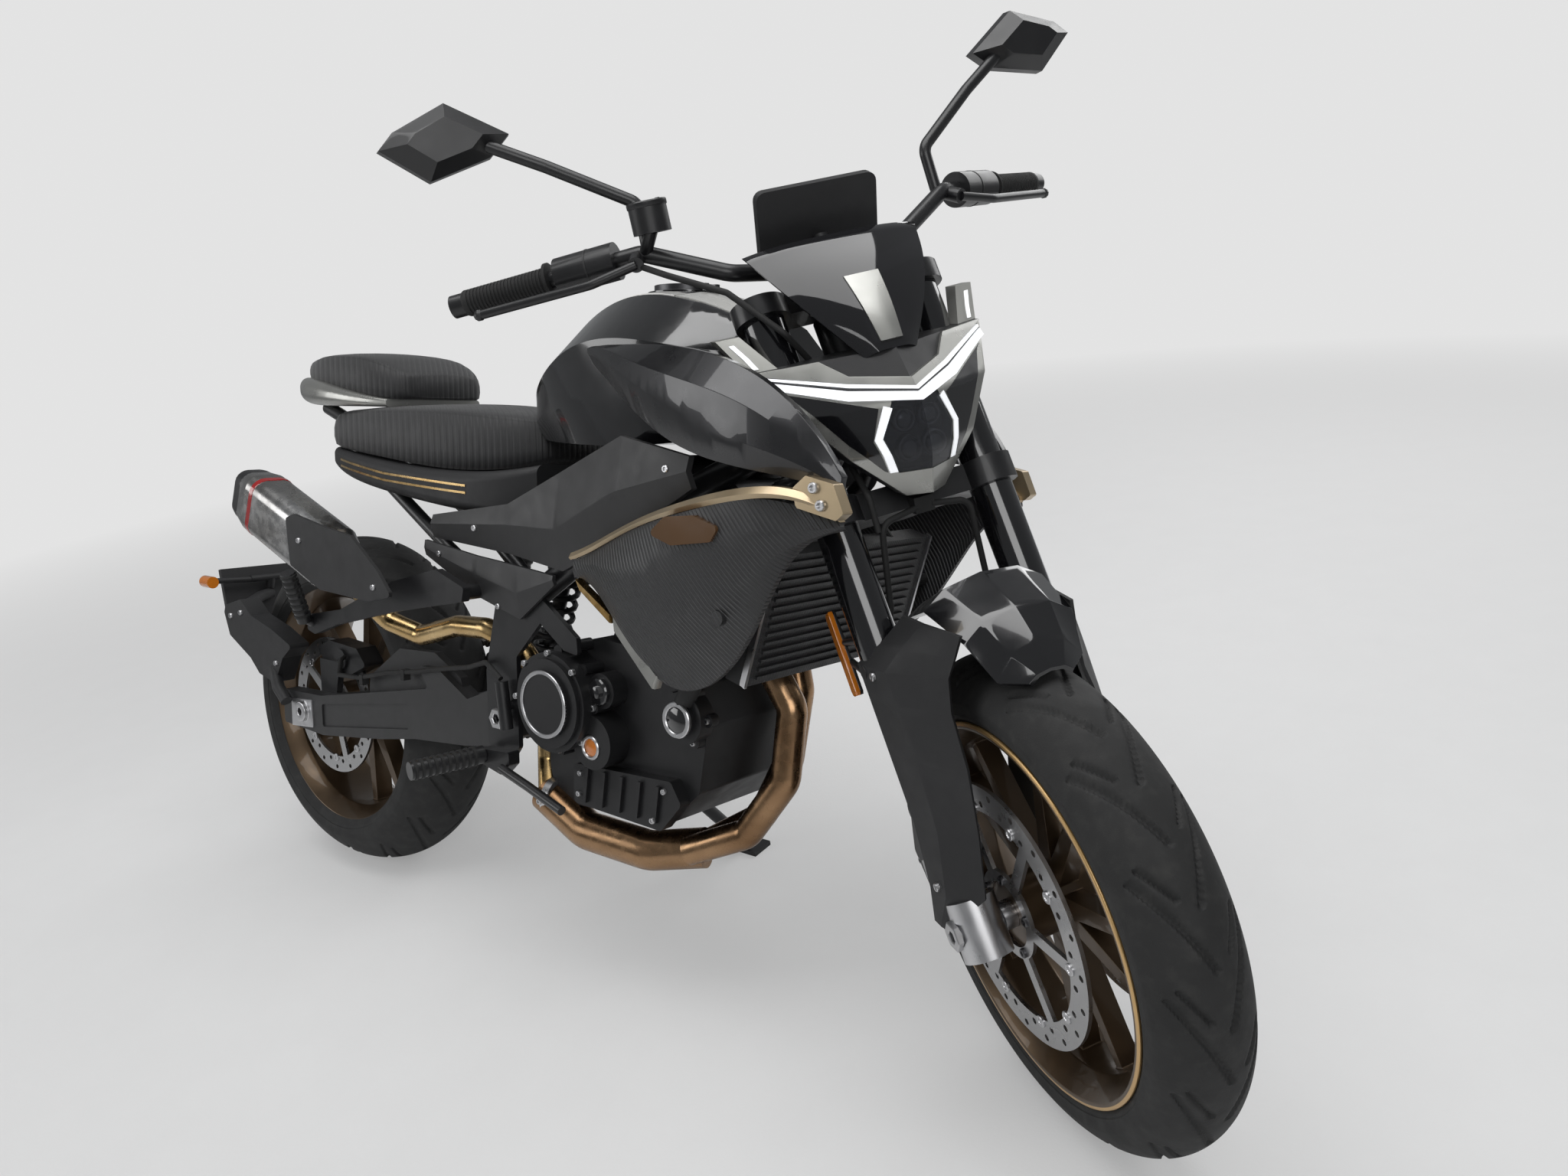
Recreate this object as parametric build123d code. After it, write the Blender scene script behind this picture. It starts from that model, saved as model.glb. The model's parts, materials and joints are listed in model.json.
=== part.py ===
from build123d import *
from math import asin, atan2, cos, degrees, hypot, pi, radians, sin, sqrt
import os

# Standard motorcycle, parallel twin, parked on its side stand with the bars
# turned against the right steering stop. Millimetres.
# The machine is drawn upright: x forward, y to the rider's left, z up, origin
# on the ground under the rear axle. It is steered and leaned at the end.

# Chassis geometry
WHEELBASE = 1466.0
RAKE = 24.9
FORK_OFFSET = 24.0
STEER_LOCK = 34.9
LEAN = 14.0
PIVOT_X = 600.0
PIVOT_Z = 400.0

# Wheels and tyres
RIM_FLANGE_R = 231.0
FLANGE_HEIGHT = 10.0
FRONT_SECTION = 69.0
REAR_SECTION = 84.0
FRONT_TYRE_HALF = 60.0
FRONT_CROWN_R = 62.0
REAR_TYRE_HALF = 90.0
REAR_CROWN_R = 97.0
AXLE_R = 12.5
SPOKE_COUNT = 5
BEAD_R = RIM_FLANGE_R - FLANGE_HEIGHT
FRONT_TYRE_R = RIM_FLANGE_R + FRONT_SECTION
REAR_TYRE_R = RIM_FLANGE_R + REAR_SECTION

# Brake discs
FRONT_DISC_R = 160.0
FRONT_DISC_Y = 66.0
REAR_DISC_R = 130.0
REAR_DISC_Y = 81.0
DISC_THICK = 5.0

# Swingarm, chain and pivot plates, as distances from the centre plane
CHAIN_Y = 102.0
CHAIN_HALF = 7.0
ARM_IN = 114.0
ARM_OUT = 142.0
PLATE_IN = 144.0
PLATE_OUT = 152.0
PIVOT_SHAFT_R = 11.5
PIVOT_SHAFT_HALF = PLATE_OUT + 6
PIVOT_BORE_R = 6.0

# Fork and steering
FORK_SPREAD = 107.0
FORK_OUTER_R = 27.0
FORK_INNER_R = 21.5
STEM_R = 17.0
HEAD_TUBE_R = 33.0
HEAD_TUBE_WALL = 7.0
HEAD_TUBE_LOW = 795.0
HEAD_TUBE_HIGH = 985.0
YOKE_THICK = 34.0

GAP = 0.3

RAKE_DIR = Vector(-sin(radians(RAKE)), 0, cos(radians(RAKE)))
REAR_AXLE = Vector(0, 0, REAR_TYRE_R)
FRONT_AXLE = Vector(WHEELBASE, 0, FRONT_TYRE_R)
OFFSET_DIR = Vector(cos(radians(RAKE)), 0, sin(radians(RAKE)))
STEER_BASE = FRONT_AXLE - OFFSET_DIR * FORK_OFFSET
FORK_PLANE = Plane(origin=STEER_BASE, x_dir=OFFSET_DIR, z_dir=RAKE_DIR)


def slab(points, y_low, y_high, radius=0.0):
    """Side-view outline of (x, z) points, extruded from y_low to y_high."""
    face = Polygon(*points, align=None)
    if radius:
        face = fillet(face.vertices(), radius)
    face = Plane.XZ.offset(-y_high) * face
    return extrude(face, amount=y_high - y_low, dir=(0, -1, 0))


def tube(points, radius, bend):
    """Round bar along straight runs joined by arcs."""
    if len(points) == 2:
        path = Line(*points)
    else:
        path = FilletPolyline(*points, radius=bend)
    start = Plane(origin=path @ 0, z_dir=path % 0)
    return sweep(start * Circle(radius), path=path)


def both(shape):
    """The shape and its mirror image on the other side of the machine."""
    return shape + mirror(shape, about=Plane.XZ)


def along(point_a, point_b, radius):
    """Cylinder between two points."""
    a = Vector(*point_a)
    b = Vector(*point_b)
    plane = Plane(origin=a, z_dir=b - a)
    return plane * Cylinder(radius, (b - a).length, align=(Align.CENTER, Align.CENTER, Align.MIN))


def across(x, z, radius, y_low, y_high):
    """Cylinder lying across the machine."""
    return along((x, y_low, z), (x, y_high, z), radius)


def round_loft(rows, ruled=False):
    """Loft of rounded rectangles. Rows: x, half width, z low, z high, corner radius."""
    faces = []
    for x, half, low, high, corner in rows:
        face = RectangleRounded(2 * half, high - low, corner)
        faces.append(Plane.YZ.offset(x) * Pos(0, (low + high) / 2) * face)
    return loft(faces, ruled=ruled)


def side_loft(rows, ruled=False):
    """Loft of shell sections on the right side, smooth along the machine unless ruled.

    Rows: x, outer points from the lower to the upper edge as (y, z), wall thickness.
    """
    faces = []
    for x, outer, wall in rows:
        inner = [(y - wall, z) for y, z in reversed(outer)]
        points = [(-y, z) for y, z in outer + inner]
        faces.append(Plane.YZ.offset(x) * Polygon(*points, align=None))
    return loft(faces, ruled=ruled)


def height_loft(rows):
    """Ruled loft of flat strips stacked upward. Rows: z, outline points as (x, y), wall thickness."""
    faces = []
    for z, outer, wall in rows:
        inner = []
        for index, (x, y) in enumerate(outer):
            before = outer[max(index - 1, 0)]
            after = outer[min(index + 1, len(outer) - 1)]
            run = Vector(after[0] - before[0], after[1] - before[1]).normalized()
            inner.append((x - run.Y * wall, y + run.X * wall))
        faces.append(Plane.XY.offset(z) * Polygon(*(outer + inner[::-1]), align=None))
    return loft(faces, ruled=True)


def on_axle(shape, centre, y=0.0):
    """Put a shape drawn about the z axis on an axle lying across the machine."""
    return Pos(centre.X, y, centre.Z) * Rot(-90, 0, 0) * shape


def ring_profile(points):
    """Solid of revolution about z from (radius, height) points."""
    face = Plane.XZ * Polygon(*points, align=None)
    return revolve(face, axis=Axis.Z)


# Tyres


def tyre(radius, half, crown):
    """Tyre about z: flat bead seat, side walls and one round crown."""
    crown_centre = radius - crown
    shoulder_r = crown_centre + sqrt(crown * crown - half * half)
    bead_half = half - 4
    profile = Polyline((shoulder_r, -half), (RIM_FLANGE_R + 3, -half + 3), (BEAD_R + 1, -bead_half + 5))
    profile += Polyline((BEAD_R + 1, -bead_half + 5), (BEAD_R + 1, bead_half - 5))
    profile += Polyline((BEAD_R + 1, bead_half - 5), (RIM_FLANGE_R + 3, half - 3), (shoulder_r, half))
    profile += ThreePointArc((shoulder_r, half), (radius, 0), (shoulder_r, -half))
    face = Plane.XZ * make_face(profile)
    return revolve(face, axis=Axis.Z)


def rim(half, hub_half, spoke_thick):
    """Cast wheel about z: rim, five forked spokes and hub with its bore."""
    edge = half + 1
    shell = ring_profile([
        (RIM_FLANGE_R, -edge), (RIM_FLANGE_R, -edge + 5), (BEAD_R, -edge + 8), (BEAD_R, -edge + 20),
        (BEAD_R - 11, -edge + 30), (BEAD_R - 11, edge - 30), (BEAD_R, edge - 20), (BEAD_R, edge - 8),
        (RIM_FLANGE_R, edge - 5), (RIM_FLANGE_R, edge), (RIM_FLANGE_R - 8, edge), (BEAD_R - 8, edge - 12),
        (BEAD_R - 19, edge - 30), (BEAD_R - 19, -edge + 30), (BEAD_R - 8, -edge + 12), (RIM_FLANGE_R - 8, -edge),
    ])
    hub_r = 40.0
    hub = Cylinder(hub_r, 2 * hub_half)
    leg_root = 34.0
    leg_end = BEAD_R - 15
    spread = 13.0
    legs = Sketch()
    for index in range(SPOKE_COUNT):
        middle = 360.0 / SPOKE_COUNT * index
        for side in (-1, 1):
            end = radians(middle + side * spread)
            root = radians(middle + side * 9)
            normal = (-sin(end), cos(end))
            root_point = (leg_root * cos(root), leg_root * sin(root))
            end_point = (leg_end * cos(end), leg_end * sin(end))
            legs += Polygon(
                (root_point[0] + 13 * normal[0], root_point[1] + 13 * normal[1]),
                (root_point[0] - 13 * normal[0], root_point[1] - 13 * normal[1]),
                (end_point[0] - 7 * normal[0], end_point[1] - 7 * normal[1]),
                (end_point[0] + 7 * normal[0], end_point[1] + 7 * normal[1]),
                align=None,
            )
    spokes = extrude(legs, amount=spoke_thick / 2, both=True)
    bore = Cylinder(AXLE_R + GAP, 2 * hub_half + 2)
    return shell + hub + spokes - bore


DISC_HOLE_R = 4.0
CARRIER_BAND = 14.0
CARRIER_ARM = 16.0


def disc(radius, band, holes, carrier_r, bolts):
    """Drilled brake disc about z with its carrier."""
    through = DISC_THICK + 2
    ring = Cylinder(radius, DISC_THICK) - Cylinder(radius - band, through)
    for row in range(2):
        row_r = radius - band * (0.3 + 0.4 * row)
        for index in range(holes):
            angle = 360.0 / holes * (index + row / 2)
            ring -= Rot(0, 0, angle) * Pos(row_r, 0, 0) * Cylinder(DISC_HOLE_R, through)
    arms = Cylinder(carrier_r, DISC_THICK)
    inner_r = radius - band
    arm = Box(inner_r - carrier_r + CARRIER_ARM, CARRIER_ARM, DISC_THICK)
    for index in range(bolts):
        arms += Rot(0, 0, 360.0 / bolts * index) * Pos((carrier_r + inner_r) / 2, 0, 0) * arm
    arms -= Cylinder(carrier_r - CARRIER_BAND, through)
    return ring + arms


FRONT_RIM_HALF = FRONT_TYRE_HALF - 3
REAR_RIM_HALF = REAR_TYRE_HALF - 13
FRONT_HUB_HALF = FRONT_DISC_Y - DISC_THICK / 2
REAR_HUB_HALF = REAR_DISC_Y - DISC_THICK / 2

front_tyre = on_axle(tyre(FRONT_TYRE_R, FRONT_TYRE_HALF, FRONT_CROWN_R), FRONT_AXLE)
front_wheel = on_axle(rim(FRONT_RIM_HALF, FRONT_HUB_HALF, 26), FRONT_AXLE)
rear_tyre = on_axle(tyre(REAR_TYRE_R, REAR_TYRE_HALF, REAR_CROWN_R), REAR_AXLE)
rear_wheel = on_axle(rim(REAR_RIM_HALF, REAR_HUB_HALF, 34), REAR_AXLE)
front_tyre -= front_wheel
rear_tyre -= rear_wheel
front_disc = disc(FRONT_DISC_R, 33, 20, 54, 6)
front_discs = on_axle(front_disc, FRONT_AXLE, -FRONT_DISC_Y) + on_axle(front_disc, FRONT_AXLE, FRONT_DISC_Y)
rear_disc = on_axle(disc(REAR_DISC_R, 30, 16, 52, 5), REAR_AXLE, -REAR_DISC_Y)

# Rear sprocket and chain, on the left

SPROCKET_R = 105.0
SPROCKET_TEETH = 42
SPROCKET_THICK = 7.0
TOOTH_DEPTH = 7.0
FRONT_SPROCKET_R = 42.0


def toothed(radius, teeth, thick):
    """Sprocket plate about z with straight-sided teeth."""
    step = 2 * pi / teeth
    outline = []
    for index in range(teeth):
        for share, depth in ((-0.28, TOOTH_DEPTH), (-0.10, 0), (0.10, 0), (0.28, TOOTH_DEPTH)):
            reach = radius - depth
            angle = (index + share) * step
            outline.append((reach * cos(angle), reach * sin(angle)))
    return extrude(Polygon(*outline, align=None), amount=thick / 2, both=True)


sprocket_plate = toothed(SPROCKET_R, SPROCKET_TEETH, SPROCKET_THICK)
for index in range(5):
    sprocket_plate -= Rot(0, 0, 72 * index) * Pos(66, 0, 0) * Cylinder(19, 9)
DRUM_DEPTH = CHAIN_Y - 3.5 - REAR_HUB_HALF
drum = Pos(0, 0, -3.5 - DRUM_DEPTH / 2) * Cylinder(46, DRUM_DEPTH)
sprocket_bore = Pos(0, 0, -DRUM_DEPTH / 2) * Cylinder(AXLE_R + GAP, DRUM_DEPTH + 20)
rear_sprocket = on_axle(sprocket_plate + drum - sprocket_bore, REAR_AXLE, CHAIN_Y)

SPROCKET_FRONT_X = 680.0
SPROCKET_FRONT_Z = 400.0
chain_dx = SPROCKET_FRONT_X
chain_dz = SPROCKET_FRONT_Z - REAR_TYRE_R
chain_span = hypot(chain_dx, chain_dz)
chain_slope = degrees(atan2(chain_dz, chain_dx))
chain_taper = degrees(asin((SPROCKET_R - FRONT_SPROCKET_R) / chain_span))


def chain_ring(grow):
    """Face inside the chain's run, grown by an amount, in the sprocket plane."""
    big = SPROCKET_R + grow
    small = FRONT_SPROCKET_R + grow
    lean_up = radians(90 - chain_taper)
    face = Circle(big) + Pos(chain_span, 0) * Circle(small)
    face += Polygon(
        (big * cos(lean_up), big * sin(lean_up)),
        (big * cos(lean_up), -big * sin(lean_up)),
        (chain_span + small * cos(lean_up), -small * sin(lean_up)),
        (chain_span + small * cos(lean_up), small * sin(lean_up)),
        align=None,
    )
    return face


LINK_PITCH = 15.875
LINK_R = CHAIN_HALF - GAP
LINK_WAIST = 4.0


def chain_pins():
    """Places of the chain's pins along its run, at the link pitch, in the sprocket plane."""
    big = SPROCKET_R + CHAIN_HALF
    small = FRONT_SPROCKET_R + CHAIN_HALF
    lean_up = radians(90 - chain_taper)
    straight = sqrt(chain_span ** 2 - (big - small) ** 2)
    front_arc = 2 * lean_up * small
    rear_arc = 2 * (pi - lean_up) * big
    total = 2 * straight + front_arc + rear_arc
    count = 2 * round(total / LINK_PITCH / 2)
    for index in range(count):
        way = index * total / count
        if way < straight:
            share = way / straight
            x = big * cos(lean_up) + share * (chain_span + (small - big) * cos(lean_up))
            yield x, big * sin(lean_up) + share * (small - big) * sin(lean_up)
        elif way < straight + front_arc:
            angle = lean_up - (way - straight) / small
            yield chain_span + small * cos(angle), small * sin(angle)
        elif way < 2 * straight + front_arc:
            share = 1 - (way - straight - front_arc) / straight
            x = big * cos(lean_up) + share * (chain_span + (small - big) * cos(lean_up))
            yield x, -big * sin(lean_up) - share * (small - big) * sin(lean_up)
        else:
            angle = -lean_up - (way - 2 * straight - front_arc) / big
            yield big * cos(angle), big * sin(angle)


chain_face = chain_ring(CHAIN_HALF + LINK_WAIST) - chain_ring(CHAIN_HALF - LINK_WAIST)
link_eye = RegularPolygon(LINK_R, 8)
chain_face += [Pos(x, z) * link_eye for x, z in chain_pins()]
chain_local = extrude(chain_face, amount=CHAIN_HALF, both=True)
chain_plane = Plane(
    origin=(0, CHAIN_Y, REAR_TYRE_R),
    x_dir=(cos(radians(chain_slope)), 0, sin(radians(chain_slope))),
    z_dir=(0, -1, 0),
)
chain = chain_plane * chain_local

# Swingarm with chain adjusters, rear axle and pivot

ARM_END_LOW = REAR_TYRE_R - 33
ARM_END_HIGH = REAR_TYRE_R + 31
arm_outline = [
    (-75, ARM_END_LOW), (-75, ARM_END_HIGH), (60, ARM_END_HIGH + 6), (396, 414), (366, 449), (424, 451),
    (500, 412), (560, 436), (632, 424), (632, 372), (560, 345), (489, 334), (351, 321), (249, 303),
    (60, ARM_END_LOW - 4),
]
arm = slab(arm_outline, -ARM_OUT, -ARM_IN, 6)
brace_outline = [(200, 374), (206, 408), (300, 468), (400, 473), (468, 440), (480, 405)]
arm += slab(brace_outline, -ARM_OUT + 12, -ARM_IN - 2, 5)
recess_outline = [(60, ARM_END_LOW + 12), (60, ARM_END_HIGH - 10), (330, 378), (352, 350), (330, 334)]
arm -= slab(recess_outline, -ARM_OUT - 1, -ARM_OUT + 3, 5)
swingarm = both(arm)
swingarm += Pos(500, 0, 385) * Box(60, 2 * ARM_IN + 4, 50)
swingarm -= across(0, REAR_TYRE_R, AXLE_R + 2, -ARM_OUT - 2, ARM_OUT + 2)
swingarm -= across(PIVOT_X, PIVOT_Z, 12, -ARM_OUT - 2, ARM_OUT + 2)
adjuster = [(-44, REAR_TYRE_R - 34), (-42, REAR_TYRE_R + 19), (29, REAR_TYRE_R + 25), (31, REAR_TYRE_R - 27)]
ADJUSTER_DEPTH = 8.0
swingarm -= both(slab(adjuster, -ARM_OUT - 1, -ARM_OUT + ADJUSTER_DEPTH))

rear_axle = across(0, REAR_TYRE_R, AXLE_R, -ARM_OUT - 8, ARM_OUT + 8)
rear_axle += both(across(0, REAR_TYRE_R, 19, ARM_OUT + 0.5, ARM_OUT + 12))
adjuster_block = slab(adjuster, -ARM_OUT - 3, -ARM_OUT + ADJUSTER_DEPTH)
rear_axle += both(adjuster_block)
rear_axle += across(0, REAR_TYRE_R, 17, GAP - ARM_IN, -REAR_HUB_HALF - GAP)
rear_axle += across(0, REAR_TYRE_R, 17, CHAIN_Y + 3.5 + GAP, ARM_IN - GAP)
rear_axle -= across(0, REAR_TYRE_R, 7, -ARM_OUT - 14, ARM_OUT + 14)

# Frame: head tube, spars, pivot plates, subframe

CASE_HALF = 112.0
MOUNT_X = 760.0
MOUNT_Z = 529.0


def on_steer(z):
    """Point on the steering axis at height z."""
    return STEER_BASE + RAKE_DIR * ((z - STEER_BASE.Z) / RAKE_DIR.Z)


head_tube = along(on_steer(HEAD_TUBE_LOW), on_steer(HEAD_TUBE_HIGH), HEAD_TUBE_R)
head_bore = along(on_steer(HEAD_TUBE_LOW + 14), on_steer(HEAD_TUBE_HIGH - 14), HEAD_TUBE_R - HEAD_TUBE_WALL)
head_bore += along(on_steer(HEAD_TUBE_LOW - 20), on_steer(HEAD_TUBE_HIGH + 20), STEM_R + GAP)
spar = tube([(1140, -20, 880), (1040, -95, 796), (820, -132, 690), (640, -124, 580)], 19, 40)
lower_spar = tube([(1180, -20, 835), (1110, -88, 770), (1000, -124, 690)], 13, 30)
plate_outline = [
    (566, 352), (566, 470), (600, 600), (690, 612), (700, 560), (640, 500), (640, 360), (620, 335),
]
pivot_plate = slab(plate_outline, -PLATE_OUT, -PLATE_IN, 10)
pivot_plate += along((650, -122, 585), (650, -PLATE_IN - 2, 585), 18)
engine_tab = slab([(684, 606), (776, 544), (778, 519), (748, 523), (690, 562)], -PLATE_OUT, -PLATE_IN, 4)
engine_tab += across(MOUNT_X, MOUNT_Z, 9, -PLATE_IN - 1, -CASE_HALF)
tank_mount = along(on_steer(866), (1010, 0, 860), 12)
frame = head_tube + tank_mount + both(spar + lower_spar + pivot_plate + engine_tab)
frame += tube([(740, -130, 645), (740, 130, 645)], 12, 10)
frame -= head_bore
frame += across(PIVOT_X, PIVOT_Z, PIVOT_SHAFT_R, -PIVOT_SHAFT_HALF, PIVOT_SHAFT_HALF)
frame -= across(PIVOT_X, PIVOT_Z, PIVOT_BORE_R, -PIVOT_SHAFT_HALF - 1, PIVOT_SHAFT_HALF + 1)

upper_rail = tube([(625, -112, 610), (520, -110, 690), (300, -100, 790), (30, -80, 874)], 12, 40)
lower_rail = tube([(600, -120, 560), (430, -118, 650), (120, -96, 815)], 11, 40)
subframe = both(upper_rail + lower_rail)
subframe += tube([(300, -100, 790), (300, 100, 790)], 10, 5)
subframe += tube([(560, -111, 659), (560, 111, 659)], 10, 5)
subframe -= frame

# Engine: tilted twin on a split crankcase, with its covers

case_outline = [
    (664, 330), (666, 470), (700, 520), (780, 540), (900, 530), (975, 500), (992, 440),
    (975, 345), (915, 288), (700, 276), (672, 296),
]
crankcase = slab(case_outline, -CASE_HALF, CASE_HALF, 12)
sprocket_bay = [(650, 300), (650, 480), (748, 480), (748, 300)]
crankcase -= slab(sprocket_bay, CHAIN_Y - CHAIN_HALF - 6, CASE_HALF + 1)
front_sprocket = across(SPROCKET_FRONT_X, SPROCKET_FRONT_Z, FRONT_SPROCKET_R, CHAIN_Y - 3.5, CHAIN_Y + 3.5)
front_sprocket += across(SPROCKET_FRONT_X, SPROCKET_FRONT_Z, 10, CHAIN_Y - CHAIN_HALF - 12, CHAIN_Y)
crankcase += front_sprocket
CYL_TILT = 20.0
cyl_plane = Plane(
    origin=(880, 0, 520),
    x_dir=(cos(radians(CYL_TILT)), 0, -sin(radians(CYL_TILT))),
    z_dir=(sin(radians(CYL_TILT)), 0, cos(radians(CYL_TILT))),
)
block = Pos(0, 0, 70) * Box(180, 190, 190)
head = Pos(2, 0, 195) * Box(200, 204, 60)
cam_cover = Pos(0, 0, 245) * Box(168, 190, 40)
for x in (-46, 46):
    cam_cover += Pos(x, 0, 258) * Rot(90, 0, 0) * Cylinder(27, 186)
flanges = Pos(0, 0, 165) * Box(208, 212, 8)
water_rail = Pos(-60, -98, 120) * Rot(0, 90, 0) * Cylinder(12, 90)
for index in range(4):
    flanges += Pos(0, 0, 22 + 30 * index) * Box(184, 196, 6)
cylinder_block = cyl_plane * (block + head + cam_cover + flanges + water_rail)
cylinder_block -= crankcase
cylinder_block -= frame

LUG_R = 9.0


def round_cover(x, z, side, steps, lugs, lug_out):
    """Stepped round engine cover with bolt lugs. Steps: radius, distance out from the centre plane."""
    cover = Part()
    start = CASE_HALF
    for radius, out in steps:
        ends = sorted((side * start, side * out))
        cover += across(x, z, radius, *ends)
        start = out
    rim_r = steps[0][0]
    lug_ends = sorted((side * CASE_HALF, side * lug_out))
    for index in range(lugs):
        angle = 2 * pi * index / lugs
        cover += across(x + rim_r * cos(angle), z + rim_r * sin(angle), LUG_R, *lug_ends)
    return cover


clutch_cover = round_cover(728, 445, -1, [(74, 164), (66, 170), (50, 176)], 8, 146)
clutch_cover += across(800, 395, 40, -150, -112) + across(812, 470, 26, -140, -112)
alternator_cover = round_cover(830, 430, 1, [(76, 164), (64, 170), (44, 176)], 8, 146)
sprocket_cover = slab([(652, 350), (652, 450), (690, 470), (762, 470), (762, 330), (690, 330)], CASE_HALF, 140, 8)
pulley_cover = round_cover(968, 455, -1, [(36, 138), (24, 146)], 5, 126)
engine_covers = clutch_cover + alternator_cover + pulley_cover + sprocket_cover
engine_covers += slab([(740, 290), (740, 350), (940, 360), (960, 330), (920, 285)], -132, -112, 8)
for index in range(5):
    rib_x = 764 + 36 * index
    engine_covers += slab([(rib_x, 296), (rib_x + 8, 350), (rib_x + 14, 350), (rib_x + 6, 296)], -137, -131)

# Radiator and coolant hoses

RADIATOR_HALF = 172.0
radiator_stay = along((1140, -100, 690), (1086, -100, 750), 7)
radiator_outline = [(1078, 532), (1108, 524), (1158, 690), (1128, 699)]
radiator = slab(radiator_outline, -RADIATOR_HALF, RADIATOR_HALF)
for index in range(14):
    share = index / 13
    fin_x = 1108 + (1158 - 1108) * (0.06 + 0.88 * share)
    fin_z = 524 + (690 - 524) * (0.06 + 0.88 * share)
    radiator += Pos(fin_x + 1, 0, fin_z) * Rot(0, 17, 0) * Box(6, 2 * RADIATOR_HALF - 36, 4)
radiator += both(radiator_stay)
radiator -= frame
coolant_hoses = tube([(1110, -150, 580), (1030, -152, 560), (972, -136, 478)], 14, 25)
coolant_hoses -= radiator
coolant_hoses -= engine_covers

# Exhaust


def header(side, back):
    """One header pipe from its port down to the collector, set back by a distance at its knee."""
    points = [
        (1010, side * 48, 620), (1040 - back / 2, side * 48, 535), (1086 - back, side * 46, 470),
        (1080 - back, side * 42 - 12, 370), (1020 - back / 2, side * 34 - 30, 285), (930, side * 26 - 60, 246),
    ]
    return tube(points, 21, 30)


headers = header(-1, 0) + header(1, 60)
headers += tube([(940, -62, 246), (860, -94, 232), (740, -108, 240), (650, -108, 280)], 29, 60)
headers -= crankcase
headers -= cylinder_block
mid_pipe = tube(
    [
        (655, -108, 277), (636, -92, 330), (636, -90, 440), (606, -116, 506), (545, -132, 530), (470, -132, 526),
        (368, -130, 498), (300, -148, 518), (268, -176, 565), (250, -188, 606),
    ], 17, 30)
silencer_axis = Plane(origin=(-40, -198, 722), x_dir=(124, 0, 310), z_dir=(310, 8, -124))
silencer_faces = []
for distance, share in [(0, 0.8), (45, 1.0), (270, 1.0), (334, 0.55)]:
    section = RectangleRounded(108 * share, 78 * share, 26 * share)
    silencer_faces.append(silencer_axis.offset(distance) * section)
silencer = loft(silencer_faces, ruled=True)
mid_pipe -= silencer
mid_pipe -= headers
heat_shield = along((190, -229, 634), (190, -242, 634), 9)
heat_shield += slab(
    [(165, 690), (190, 698), (280, 682), (360, 672), (430, 622), (465, 585), (400, 572), (262, 578), (172, 612)],
    -247, -241, 6)
heat_shield -= silencer

# Fuel tank, wings and cap

# Columns: x, then half width and height of floor edge, waist, shoulder crease and top edge, crown height
tank_rows = [
    (604, (60, 824), (72, 850), (70, 884), (40, 906), 913),
    (690, (104, 820), (116, 862), (126, 920), (72, 966), 976),
    (800, (138, 818), (146, 880), (154, 956), (86, 1016), 1027),
    (915, (142, 820), (150, 890), (156, 956), (86, 1016), 1026),
    (1026, (100, 836), (112, 890), (108, 940), (60, 976), 986),
]
CROWN_HALF = 30.0
tank_faces = []
for x, floor_edge, waist, shoulder, top_edge, crown in tank_rows:
    half = [floor_edge, waist, shoulder, top_edge, (CROWN_HALF, crown)]
    outline = half + [(-y, z) for y, z in reversed(half)]
    tank_faces.append(Plane.YZ.offset(x) * Polygon(*outline, align=None))
fuel_tank = loft(tank_faces)
CAP_X = 852.0
CAP_R = 44.0
COLLAR_TOP = 1032.0
CAP_THICK = 9.0
NECK_R = 24.0
CAP_HINGE_X = CAP_X + CAP_R + 5
CAP_HINGE_Z = COLLAR_TOP + 5.5
CAP_PIN_R = 2.0
COLLAR_R = CAP_R + 9
frame -= fuel_tank
fuel_tank -= along((CAP_X, 0, COLLAR_TOP), (CAP_X, 0, COLLAR_TOP + 30), COLLAR_R)
fuel_tank += along((CAP_X, 0, 1005), (CAP_X, 0, COLLAR_TOP), COLLAR_R)
fuel_tank -= along((CAP_X, 0, COLLAR_TOP - 60), (CAP_X, 0, COLLAR_TOP + 1), NECK_R)
cap_ear = Pos(CAP_HINGE_X, 11, COLLAR_TOP + 1) * Box(8, 7, 18)
cap_ear -= across(CAP_HINGE_X, CAP_HINGE_Z, CAP_PIN_R + GAP, 0, 20)
fuel_tank += both(cap_ear)
fuel_cap = along((CAP_X, 0, COLLAR_TOP + GAP), (CAP_X, 0, COLLAR_TOP + GAP + CAP_THICK), CAP_R)
fuel_cap -= both(Pos(CAP_HINGE_X, 11, CAP_HINGE_Z) * Box(14, 8, 30))
fuel_cap += along((CAP_X, 0, COLLAR_TOP - 8), (CAP_X, 0, COLLAR_TOP + 1), NECK_R - 4)
fuel_cap += across(CAP_HINGE_X, CAP_HINGE_Z, 4, -7, 7)
fuel_cap += Pos(CAP_HINGE_X - 5, 0, CAP_HINGE_Z) * Box(10, 14, 7)
fuel_cap += across(CAP_HINGE_X, CAP_HINGE_Z, CAP_PIN_R, -14, 14)

# Columns: x, outer points from the lower edge up, wall
wing_rows = [
    (812, [(150, 934), (153, 942), (154, 948), (150, 955)], 12),
    (905, [(176, 880), (186, 916), (184, 936), (166, 950)], 12),
    (1000, [(198, 832), (211, 876), (208, 912), (180, 944)], 12),
    (1100, [(212, 804), (226, 842), (222, 888), (193, 924)], 12),
    (1195, [(214, 790), (225, 816), (222, 850), (204, 880)], 12),
    (1276, [(196, 768), (201, 776), (201, 782), (198, 790)], 10),
]
tank_wings = both(side_loft(wing_rows)) - fuel_tank

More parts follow.
